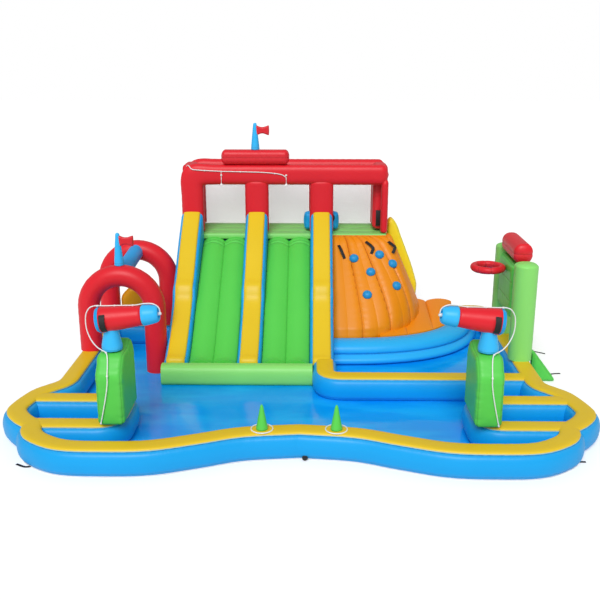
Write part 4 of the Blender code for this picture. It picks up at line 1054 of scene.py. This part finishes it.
cuts = [i / (2 * CLIMB_CHANNELS) for i in range(2 * CLIMB_CHANNELS + 1)]
parts = np.unique(np.clip(np.concatenate([np.linspace(0, 1, 91)] + [
    [cut - 0.011, cut - 0.0045, cut, cut + 0.0045, cut + 0.011] for cut in cuts]), 0.0, 1.0).round(5))
levels = [(h, 0.007 * sum(math.exp(-((h - fold) / 0.010) ** 2) for fold in (0.085, 0.165)))
          for h in np.linspace(0.0, 0.945, 90)]
levels += [(1.0 - 0.055 * (1 - math.sin(a)), 0.075 * (1 - math.cos(a))) for a in np.linspace(0.2, 1.5, 8)]
levels += [(1.0, 0.10), (1.0, 0.15)]
dips = 1.0 - np.abs(np.sin(2 * math.pi * CLIMB_CHANNELS * parts)) ** 0.7
dips *= 0.70 + 0.30 * np.cos(2 * math.pi * CLIMB_CHANNELS * parts)
dips[0] = dips[-1] = 0.0
rows = []
for height, inset in levels:
    near_top = max(0.0, (height - 0.86) / 0.14) ** 2
    turns, along = way_round(height)
    ring = []
    for share, dip in zip(np.interp(parts, along, turns), dips):
        point = climb_point(share, height, dip * (0.026 + 0.010 * near_top) + inset)
        point[2] -= dip * 0.012 * near_top
        ring.append(point)
    for x, y in ((TOWER_RIGHT_X + GAP, BACK_FACE_Y), (TOWER_RIGHT_X + GAP, SLIDE_TOP_Y - GAP),
                 (CLIMB_LEFT_X, SLIDE_TOP_Y - GAP)):
        ring.append(np.array((x, y, height * CLIMB_TOP)))
    rows.append(np.maximum(np.array(ring), [-9.0, -9.0, WALL_FOOT]))
grid = np.array(rows)
wall = piece("climbing_face", grid.reshape(-1, 3), grid_faces(*grid.shape[:2]), ORANGE_VINYL,
             ["climbing_wall"])
lines = [grid[:-2, int(np.argmin(np.abs(parts - cut)))] for cut in cuts[2:-1:2]]
stitch(wall, lines, gather=0.0030)

HOLD_BLUE = vinyl("grip_vinyl", (0.010, 0.30, 0.66))
HOLD_PROFILE = [(0.040, -0.02), (0.066, 0.0), (0.067, 0.012), (0.060, 0.024), (0.044, 0.040),
                (0.024, 0.050), (0.003, 0.053)]
for i, (share, height) in enumerate(HOLD_SHARES):
    centre = climb_point(share, height, 0.008)
    beside = climb_point(share + 0.01, height, 0.008) - centre
    above = climb_point(share, height + 0.01, 0.008) - centre
    out = np.cross(beside, above)
    place = Matrix.Translation(centre) @ Vector(out).to_track_quat("Z", "Y").to_matrix().to_4x4()
    turned("grip_" + str(i + 1), HOLD_PROFILE, place, HOLD_BLUE, ["climbing_wall"],
           joints=[0.012], sides=28, step=0.008, gather=0.001)

# ---------------------------------------------------------------- Foot roll, side ramp and wing
# Two stacked pale blue rolls run round the wall's foot. Behind them a low orange ramp of three
# channels climbs to the back wall, and a flat yellow wing with a curved edge stands beside the tower.

FOOT_REACH_X = 1.75
FOOT_BLUE = vinyl("foot_roll_vinyl", (0.020, 0.46, 0.92))
foot_inner = [quarter_point(s, FOOT_REACH_X + GAP, CLIMB_REACH_Y + GAP, CLIMB_SQUARENESS, 0.0)[:2]
              for s in np.linspace(0.0, 1.0, 60)]
foot_inner[-1] = np.array((foot_inner[-1][0], BACK_FACE_Y - 0.02))
foot_line = on_ground(even(np.array(foot_inner), 0.028), WALL_FOOT)
curve = smooth_line([(0.24, 0.0), (0.285, 0.004), (0.33, 0.03), (0.335, 0.075), (0.285, 0.118)], 0.012)
upper = smooth_line([(0.262, 0.135), (0.28, 0.17), (0.25, 0.235), (0.16, 0.276), (0.06, 0.285)], 0.012)
outline = np.concatenate([curve, upper, [(0.0, 0.27), (0.0, 0.14), (0.0, 0.0), (0.12, 0.0)]])
section, columns = section_ring(outline, [(0.262, 0.135), (0.06, 0.285), (0.24, 0.0)])
sewn_skin("foot_rolls", swept_grid(foot_line, section), columns, FOOT_BLUE, ["foot_roll"],
          tuck=0.006, gather=0.0022)

RAMP_START_X = 1.02
RAMP_CHANNELS = 3
inner = np.array([quarter_point(s, FOOT_REACH_X, CLIMB_REACH_Y, CLIMB_SQUARENESS, 0.0)[:2]
                  for s in np.linspace(0.0, 1.0, 400)])
length = float(np.interp(BACK_FACE_Y - 0.1, inner[:, 1], inner[:, 0])) - RAMP_START_X
spots = stations(length, [length * k / RAMP_CHANNELS for k in range(RAMP_CHANNELS + 1)], 0.022)
t = np.linspace(0.0, 1.0, 16)
grid = np.zeros((len(spots), len(t) + 2, 3))
for i, spot in enumerate(spots):
    x = RAMP_START_X + spot
    front = float(np.interp(x, inner[:, 0], inner[:, 1])) + GAP
    back = BACK_FACE_Y if x > TOWER_RIGHT_X + GAP else SLIDE_TOP_Y - 0.05
    crown = abs(math.sin(math.pi * RAMP_CHANNELS * spot / spots[-1])) ** 0.6
    rise = (0.17 - 0.045 * (1 - crown)) * t ** 0.85 + 0.02 * np.sin(math.pi * t) * crown
    grid[i, 1:-1] = np.stack([np.full(len(t), x), front + (back - front) * t, WALL_FOOT + 0.285 + rise],
                             axis=1)
    grid[i, 0], grid[i, -1] = (x, front, WALL_FOOT), (x, back, WALL_FOOT)
ramp = piece("side_slope", grid.reshape(-1, 3), grid_faces(*grid.shape[:2]), ORANGE_VINYL, ["side_ramp"])
stitch(ramp, [grid[int(np.argmin(np.abs(spots - spots[-1] * k / RAMP_CHANNELS))), 1:-1]
              for k in range(1, RAMP_CHANNELS)])

WING_SHARES = [(0.0, 0.0), (0.90, 0.0), (0.96, 0.14), (1.0, 0.28), (0.82, 0.49),
               (0.53, 0.75), (0.30, 0.93), (0.12, 1.0), (0.0, 0.955)]
# A brighter copy of the strips' yellow, as painted light: it brightens the wing's face and carries a painted
# highlight.
LIT_WING_YELLOW = vinyl("lit_wing_vinyl_skin", (0.97, 0.76, 0.020))
shape = [(WING_REACH * x, (1.65 - WALL_TOP - GAP) * z) for x, z in WING_SHARES]
puffed("yellow_wing", shape, 0.20, standing(TOWER_RIGHT_X + GAP, BACK_WALL_Y, WALL_TOP + GAP),
       LIT_WING_YELLOW, ["wing"], edge=0.085, corner=0.08)

# ---------------------------------------------------------------- Arches
# Two bent red tubes with a fat blue tube between their crowns. The back one is closed up to half its
# height by a padded yellow panel, coloured a dark gold as painted shade. The outer feet stand on the pool's
# rim.

BACK_ARCH_Y = 1.335
ARCH_RADIUS = 0.41
ARCH_TUBE = 0.27
ARCH_FOOT = 0.2896


def arch(name, cad_node, y, top, right_foot):
    centre_z = top - ARCH_TUBE / 2 - ARCH_RADIUS
    bow = [(ARCH_MIDDLE_X - ARCH_RADIUS * math.cos(a), y, centre_z + ARCH_RADIUS * math.sin(a))
           for a in np.linspace(0.0, math.pi, 40)]
    ends = [(ARCH_MIDDLE_X - ARCH_RADIUS, y, ARCH_FOOT), (ARCH_MIDDLE_X + ARCH_RADIUS, y, right_foot)]
    line = even(ends[:1] + bow + ends[1:], 0.02)
    bolster(name, line, oval(ARCH_TUBE, ARCH_TUBE), RED_VINYL, [cad_node],
            up=(0.0, 1.0, 0.0), seams=[(ARCH_TUBE / 2, 0.0), (-ARCH_TUBE / 2, 0.0)], gather=0.0025)


arch("front_bow", "arch_front", FRONT_ARCH_Y, 1.38, WALL_FOOT)
arch("back_bow", "arch_back", BACK_ARCH_Y, 1.45, ARCH_FOOT)
line = np.array([(ARCH_MIDDLE_X, FRONT_ARCH_Y + 0.07, 1.245), (ARCH_MIDDLE_X, BACK_ARCH_Y, 1.315)])
bolster("ridge_bolster", line, oval(0.20, 0.20), BLUE_VINYL, ["ridge_tube"],
        seams=[(0.10, 0.0), (-0.10, 0.0)], ends=(0.05, 0.0))
# Yellow fabric darkened to gold-orange: painted shade, for the panel that sits in the arches' shade.
SHADED_YELLOW_VINYL = vinyl("shaded_yellow_vinyl_skin", (0.66, 0.29, 0.002))
centre, size, low = middle_of("arch_panel")
half = size.x / 2
shape = [(-half, 0.0), (half, 0.0), (half, 0.39), (half / 2, 0.53), (-half / 2, 0.53), (-half, 0.39)]
puffed("shaded_yellow_panel", shape, size.y, standing(centre.x, centre.y, low.z), SHADED_YELLOW_VINYL, ["arch_panel"],
       edge=0.04)

# ---------------------------------------------------------------- Ball goal
# Two green posts with domed tops stand on the rim, each with a three-cornered brace outside. Between
# them hang a green padded board and its stuffed red ring, and a red roll lies on top.

ON_STRIP = 0.2899
for side, y in (("front", -0.015), ("back", 1.035)):
    line = np.array([(SIDE_X, y, ON_STRIP), (SIDE_X, y, 1.50)])
    # The posts take the lighter green copy, which is painted light.
    bolster("post_" + side, line, oval(0.28, 0.28, 2.2), LIT_GREEN_VINYL, ["goal_post_" + side],
            seams=[(0.14, 0.0), (-0.14, 0.0)], ends=(0.0, 0.05), up=(0.0, 1.0, 0.0))
    near, high = 0.15, 0.36 + 0.05 - ON_STRIP
    shape = [(near, -0.285), (near + 0.31, -0.285), (near, high), (0.03, high), (0.03, high - 0.05),
             (near, high - 0.05)]
    puffed("brace_" + side, shape, 0.14, standing(SIDE_X, y, ON_STRIP), GREEN_VINYL,
           ["goal_post_" + side], edge=0.035, corner=0.03, rise=0.006, voxel=0.012)
centre, size, low = middle_of("goal_board")
half = size.y / 2 - 0.04
lines = [[(-half, face * size.x / 2, size.z * k / 3), (half, face * size.x / 2, size.z * k / 3)]
         for k in (1, 2) for face in (1, -1)]
puffed("ball_board", box_shape(size.y, size.z), size.x, standing(centre.x, centre.y, low.z, 90),
       GREEN_VINYL, ["goal_board"], edge=0.06, lines=lines)
centre, size, low = middle_of("goal_roll")
line = np.array([(centre.x, low.y, centre.z), (centre.x, low.y + size.y, centre.z)])
bolster("goal_bolster", line, oval(size.x, size.z, 2.4), RED_VINYL, ["goal_roll"],
        seams=[(size.x / 2, 0.0), (-size.x / 2, 0.0)], ends=(0.06, 0.06))


RING_STEPS = 96


def level_ring(name, centre, radius, tube, material, cad_node, body, joints=0, sides=20):
    """A level ring of round section, sewn round its inner side and across it where it has joints."""
    turn = np.linspace(0.0, 2 * math.pi, RING_STEPS + 1)[:-1]
    bend = np.linspace(0.0, 2 * math.pi, sides, endpoint=False)
    reach = radius + tube * np.cos(bend)[None, :]
    grid = np.stack([centre.x + reach * np.cos(turn)[:, None], centre.y + reach * np.sin(turn)[:, None],
                     centre.z + tube * np.sin(bend)[None, :] + 0 * turn[:, None]], axis=2)
    last = (RING_STEPS - 1) * sides
    faces = grid_faces(RING_STEPS, sides, lids=False)
    faces += [(last + j, last + (j + 1) % sides, (j + 1) % sides, j) for j in range(sides)]
    made = piece(name, grid.reshape(-1, 3), faces, material, [cad_node], body)
    if joints:
        across = [grid[RING_STEPS * k // joints] for k in range(joints)]
        stitch(made, [grid[:, sides // 2]] + across, tuck=0.003, gather=0.002)


level_ring("ball_ring", Vector((2.32, 0.51, 1.30)), 0.175, 0.044, RED_VINYL, "goal_ring",
           "park", joints=8)

# ---------------------------------------------------------------- Water cannons
# A green padded stand is sewn to each pocket wall. A blue neck of fabric on it can be twisted, and
# carries a red barrel with a blue nozzle, a blue band and a black webbing handle. White PVC hose
# climbs the stand, loops free to the barrel and is clipped along its top as far as the nozzle.

STAND_SHARES = [(0.0, 0.0), (0.0, 0.70), (0.22, 0.93), (0.60, 0.93), (0.68, 0.955),
                (0.77, 1.0), (0.88, 0.96), (1.0, 0.80), (1.0, 0.0)]
STAND_LENGTH = 0.67
STAND_HEIGHT = 0.79
BARREL_TILT = math.radians(6.5)
HOSE_DIAMETER = 0.012
HOSE_ROUTE = [
    (0.095, -0.0063, 0.050), (0.075, -0.0063, 0.130), (0.030, -0.0063, 0.330), (0.006, -0.0063, 0.470),
    (0.002, -0.0035, 0.553), (0.003, 0.0173, 0.5905), (0.008, 0.0635, 0.6505), (0.016, 0.107, 0.708),
    (0.035, 0.143, 0.745), (0.085, 0.175, 0.759), (0.140, 0.205, 0.785), (0.195, 0.235, 0.840),
    (0.238, 0.262, 0.925), (0.250, 0.270, 1.015), (0.240, 0.270, 1.105), (0.200, 0.270, 1.170),
    (0.150, 0.270, 1.190),
]
RIDGE_ROUTE = [(0.05, 0.146), (0.12, 0.138), (0.28, 0.124), (0.42, 0.112), (0.50, 0.118), (0.58, 0.112),
               (0.63, 0.088), (0.655, 0.055), (0.658, 0.018)]


def hose_plastic():
    """Milky PVC hose, a little duller where water and dust have dried on it."""
    material, shader, wire, place = new_finish("milky_hose")
    film = noise(wire, place, 22.0, 3.0)
    blend_colours(wire, film, (0.74, 0.77, 0.78), (0.90, 0.91, 0.90)).drives(shader.inputs["Base Color"])
    (film * 0.2 + 0.22).drives(shader.inputs["Roughness"])
    dented(wire, shader, film * 0.0006, 0.5)
    return material


def black_webbing():
    """Woven black nylon with slanting ribs, greyed a little by use."""
    material, shader, wire, place = new_finish("black_webbing")
    across, height = across_and_up(wire, place)
    ribs = wire.sum_of("SINE", (across + height) * 1100.0)
    dust = noise(wire, place, 40.0, 2.0)
    blend_colours(wire, dust * 0.6, (0.003, 0.003, 0.004), (0.018, 0.018, 0.020)).drives(
        shader.inputs["Base Color"])
    (dust * 0.2 + 0.5).drives(shader.inputs["Roughness"])
    dented(wire, shader, ribs * 0.0004, 0.6)
    return material


HOSE_WHITE = hose_plastic()
WEBBING = black_webbing()


def pipe_mesh(name, points):
    """A round hose along a smooth curve, whose section doesn't twist."""
    line = smooth_line(points, 0.018)
    way = np.gradient(line, axis=0)
    way /= np.linalg.norm(way, axis=1)[:, None]
    first = np.cross(way[0], (0.31, 0.67, 0.45))
    beside = [first / np.linalg.norm(first)]
    for ahead in way[1:]:
        level = beside[-1] - ahead * np.dot(beside[-1], ahead)
        beside.append(level / np.linalg.norm(level))
    side = np.array(beside)
    top = np.cross(side, way)
    ring = oval(HOSE_DIAMETER, HOSE_DIAMETER, count=12)
    grid = line[:, None, :] + side[:, None, :] * ring[None, :, 0:1] + top[:, None, :] * ring[None, :, 1:2]
    return new_object(name, grid.reshape(-1, 3), grid_faces(len(line), len(ring)))


def pipe(name, points, cad_nodes, body="park"):
    settle(pipe_mesh(name, points), HOSE_WHITE, cad_nodes, body)


def clip(name, point, toward, body="park", reach=0.011):
    """A moulded clip that snaps round the hose, thicker in its middle."""
    place = Matrix.Translation(point) @ Vector(toward).to_track_quat("Z", "Y").to_matrix().to_4x4()
    shape = [(0.004, -0.013), (reach * 0.8, -0.012), (reach, -0.007), (reach, 0.007), (reach * 0.8, 0.012),
             (0.004, 0.013)]
    turned(name, shape, place, HOSE_WHITE, [], body, sides=14, step=0.006)


def strap(name, line, outward, width, body="park"):
    """A flat strap along a line, its face turned outwards."""
    section = oval(width, 0.005, 5.0, 24)
    line = smooth_line(line, 0.012)
    grid = swept_grid(line, section, outward)
    piece(name, grid.reshape(-1, 3), grid_faces(len(line), len(section)), WEBBING, [], body)


for side, sign in (("left", -1), ("right", 1)):
    body = "cannon_" + side
    front_y = FRONT_BAND_Y - WALL_WIDTH / 2
    shape = [(STAND_LENGTH * along, STAND_HEIGHT * up) for along, up in STAND_SHARES]
    puffed("stand_pad_" + side, shape, 0.275, standing(sign * STAND_X, front_y, ON_STRIP, 90), GREEN_VINYL,
           ["cannon_stand_" + side], edge=0.038, corner=0.045, rise=0.008)
    pivot = Vector((sign * STAND_X, front_y + 0.27, ON_STRIP + STAND_HEIGHT * 0.93 + GAP))
    axis = Vector((-sign * math.cos(BARREL_TILT), 0.0, math.sin(BARREL_TILT)))
    rear = pivot + Vector((sign * 0.155, 0.0, 0.305))
    place = Matrix.Translation(rear) @ axis.to_track_quat("Z", "Y").to_matrix().to_4x4()
    neck = [(0.02, -0.003), (0.098, 0.0), (0.106, 0.02), (0.101, 0.06), (0.080, 0.16), (0.072, 0.26),
            (0.070, 0.305)]
    turned("twist_neck_" + side, neck, Matrix.Translation(pivot), SKY_BLUE_VINYL, ["cannon_neck_" + side],
           body, joints=[0.02])
    barrel = [(0.004, -0.001), (0.05, 0.002), (0.088, 0.012), (0.115, 0.030), (0.130, 0.056), (0.134, 0.085),
              (0.130, 0.13), (0.117, 0.28), (0.103, 0.44), (0.098, 0.476), (0.05, 0.486)]
    turned("barrel_" + side, barrel, place, RED_VINYL, ["cannon_barrel_" + side], body,
           sides=48)
    nozzle = [(0.05, 0.474), (0.094, 0.475), (0.104, 0.482), (0.107, 0.50), (0.100, 0.56), (0.090, 0.61),
              (0.080, 0.635), (0.066, 0.645), (0.052, 0.640), (0.046, 0.60), (0.004, 0.598)]
    turned("nozzle_" + side, nozzle, place, SKY_BLUE_VINYL, ["cannon_barrel_" + side], body,
           sides=48, step=0.012)
    band = [(0.100, 0.022), (0.117, 0.022), (0.1335, 0.050), (0.1350, 0.060), (0.120, 0.062)]
    turned("rear_band_" + side, band, place, BLUE_VINYL, ["cannon_barrel_" + side], body,
           sides=48, step=0.008)
    sky_side = (Vector((0, 0, 1)) - axis * axis.z).normalized()
    ridge = [tuple(rear + axis * along + sky_side * out) for along, out in RIDGE_ROUTE]
    route = [(sign * (STAND_X + x), front_y + y, ON_STRIP + z) for x, y, z in HOSE_ROUTE]
    pipe("barrel_hose_" + side, route[-1:] + ridge, [], body)
    tip = [(0.004, 0.60), (0.017, 0.60), (0.019, 0.64), (0.019, 0.662), (0.012, 0.672), (0.003, 0.673)]
    turned("jet_" + side, tip, place, HOSE_WHITE, ["cannon_barrel_" + side], body,
           sides=20, step=0.008)
    for number, (along, out) in enumerate(((0.05, 0.146), (0.22, 0.130), (0.40, 0.113)), 1):
        clip("barrel_clip_" + side + "_" + str(number), rear + axis * along + sky_side * out, axis, body)
    for number, spot in ((1, 0), (2, 4), (3, 8)):
        toward = Vector(route[spot + 1]) - Vector(route[spot])
        clip("stand_clip_" + side + "_" + str(number), Vector(route[spot]), toward)
    face = Vector((0.0, -1.0, 0.0))
    grip = []
    for angle in np.linspace(-0.80, 0.60, 9):
        out = face * math.cos(angle) + sky_side * math.sin(angle)
        grip.append(tuple(rear + axis * 0.105 + out * (0.137 + 0.016 * math.cos((angle + 0.10) * 2.2))))
    strap("barrel_handle_" + side, grip, tuple(face), width=0.060, body=body)
    loop = pipe_mesh("loop_hose_" + side, route)
    loop.data.shade_smooth()
    loop.data.materials.append(HOSE_WHITE)
    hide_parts("cannon_hose_" + side)
    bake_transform(loop)

# ---------------------------------------------------------------- Cones and toss rings
# Two small green cones are sewn to the front strip as targets, and a thin plastic ring lies loose
# round each of them.

for side, sign in (("left", -1), ("right", 1)):
    low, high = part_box("marker_cone_" + side)
    x, y = (low.x + high.x) / 2, (low.y + high.y) / 2
    cone = [(0.02, -0.002), (0.058, 0.0), (0.062, 0.010), (0.050, 0.06), (0.018, 0.235), (0.012, 0.262),
            (0.002, 0.270)]
    turned("target_cone_" + side, cone, standing(x, y, low.z), GREEN_VINYL, ["marker_cone_" + side],
           joints=[0.010], tuck=0.002, sides=32)
    low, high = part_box("toss_ring_" + side)
    level_ring("loose_ring_" + side, (low + high) / 2, 0.108, 0.0065, HOSE_WHITE, "toss_ring_" + side,
               "ring_" + side, sides=10)

# ---------------------------------------------------------------- Hoses, sprayers, handles and straps
# A white supply hose is clipped along the front wall's foot, with a black coupling in the middle.
# Another comes over the tower beam's left corner and feeds two sprayers under the beam. Handles and
# ground ties are of black webbing, sewn on at their ends.

front = np.concatenate([rim_side(-1)[::-1], rim_side(1)[1:]])
low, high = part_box("ground_hose")
flat_front = on_ground(front, 0.006)
side_of = carried(flat_front, (0.0, 0.0, 1.0))[0]
hose_line = flat_front + side_of * 0.110
keep = (hose_line[:, 0] > low.x + 0.004) & (hose_line[:, 0] < high.x - 0.004) & (hose_line[:, 1] < high.y)
hose_line = even(hose_line[keep], 0.10)
pipe("supply_hose", hose_line, ["ground_hose"])
for number in range(1, 8):
    spot = len(hose_line) * number // 8
    clip("supply_clip_" + str(number), Vector(hose_line[spot]) + Vector((0, 0, 0.002)),
         hose_line[spot + 1] - hose_line[spot], reach=0.008)

BLACK_PLASTIC, black_shader, black_wire, black_place = new_finish("black_coupling_plastic")
scuffs = noise(black_wire, black_place, 60.0, 3.0)
blend_colours(black_wire, scuffs, (0.008, 0.008, 0.009), (0.03, 0.03, 0.032)).drives(
    black_shader.inputs["Base Color"])
(scuffs * 0.2 + 0.3).drives(black_shader.inputs["Roughness"])
coupling = [(0.004, -0.020), (0.018, -0.020), (0.020, -0.012), (0.027, -0.010), (0.029, 0.0), (0.029, 0.016),
            (0.026, 0.020), (0.018, 0.021), (0.016, 0.034), (0.004, 0.035)]
place = Matrix.Translation((0.059, -2.165, 0.030)) @ Matrix.Rotation(math.radians(90), 4, "X")
turned("coupling", coupling, place, BLACK_PLASTIC, [], sides=24, step=0.004)

BEAM_HOSE = [(-1.50, 2.338), (-1.36, 2.328), (-1.14, 2.318), (-0.87, 2.312), (-0.59, 2.305),
             (-0.40, 2.290), (-0.30, 2.270), (-0.243, 2.235)]
NEAR_CORNER = [(-1.66, 2.02, 2.33), (-1.66, 1.97, 2.42), (-1.62, 1.88, 2.42), (-1.59, 1.80, 2.40),
               (-1.55, 1.77, 2.36)]
beam_y = SLIDE_TOP_Y - 0.0063
over_corner = []
for point in NEAR_CORNER:
    spot, normal = bpy.data.objects["frame_front_beam"].closest_point_on_mesh(point)[1:3]
    over_corner.append(tuple(spot + normal * (HOSE_DIAMETER / 2 + 0.001)))
pipe("beam_hose", over_corner + [(x, beam_y, z) for x, z in BEAM_HOSE], ["tower_hose"])
for number, (x, z) in enumerate(((-1.36, 2.328), (-0.87, 2.312), (-0.40, 2.290)), 1):
    clip("beam_clip_" + str(number), (x, beam_y, z), (1, 0, -0.05))
for number, (x, z) in enumerate(((-1.135, 2.318), (-0.243, 2.238)), 1):
    clip("sprayer_clip_" + str(number), (x, beam_y, 2.265), (0, 0, 1), reach=0.014)
    drop = z - 2.146
    sprayer = [(0.003, -drop - 0.026), (0.024, -drop - 0.026), (0.026, -drop - 0.019), (0.012, 0.003 - drop),
               (0.006, 0.008 - drop), (0.006, -0.004), (0.003, 0.0)]
    turned("sprayer_" + str(number), sprayer, Matrix.Translation((x, beam_y - 0.002, z)), HOSE_WHITE, [],
           sides=20, step=0.008)

CLIMB_HANDLES = [(0.16, 0.93, 0.14, 0.82, (-0.034, 0.000, 0.034)),
                 (0.57, 0.96, 0.50, 0.86, (-0.040, 0.042, 0.012)),
                 (0.79, 0.96, 0.68, 0.86, (-0.070, 0.045, 0.022))]
for number, (share, high, share_low, low, drift) in enumerate(CLIMB_HANDLES, 1):
    line = []
    for t in np.linspace(0.0, 1.0, 9):
        spot = climb_point(share + (share_low - share) * t, high + (low - high) * t, -0.004)
        spot = spot + np.array([0.10, -0.75, 0.60]) * 0.030 * math.sin(math.pi * t)
        spot[0] += np.interp(t, (0.0, 0.6, 1.0), drift)
        line.append(tuple(spot))
    strap("climb_handle_" + str(number), line, (0.20, -0.75, 0.60), width=0.042)
panel_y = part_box("tower_side_right")[0].y - 0.006
line = [(1.045, panel_y - 0.018 * math.sin(math.pi * t), 1.749 - 0.225 * t)
        for t in np.linspace(0.0, 1.0, 7)]
strap("tower_handle", line, (0.0, -1.0, 0.0), width=0.065)
line = [(0.40 + 0.02 * math.sin(math.pi * t), 1.985 - 0.012 * math.sin(math.pi * t), 1.69 - 0.10 * t)
        for t in np.linspace(0.0, 1.0, 6)]
strap("divider_handle", line, (0.3, -1.0, 0.0), width=0.03)
ties = {
    "left": [(-2.58, -2.34, 0.012), (-2.67, -2.355, 0.004), (-2.775, -2.30, 0.004)],
    "right": [(2.65, -2.17, 0.012), (2.75, -2.165, 0.004), (2.835, -2.165, 0.004)],
    "goal_front": [(3.06, 0.13, 0.012), (3.15, 0.19, 0.004), (3.25, 0.205, 0.004)],
    "goal_back": [(3.06, 1.02, 0.012), (3.15, 0.99, 0.004), (3.25, 0.92, 0.004)],
}
for name, line in ties.items():
    strap("ground_tie_" + name, line, (0.0, 0.0, 1.0), width=0.028)
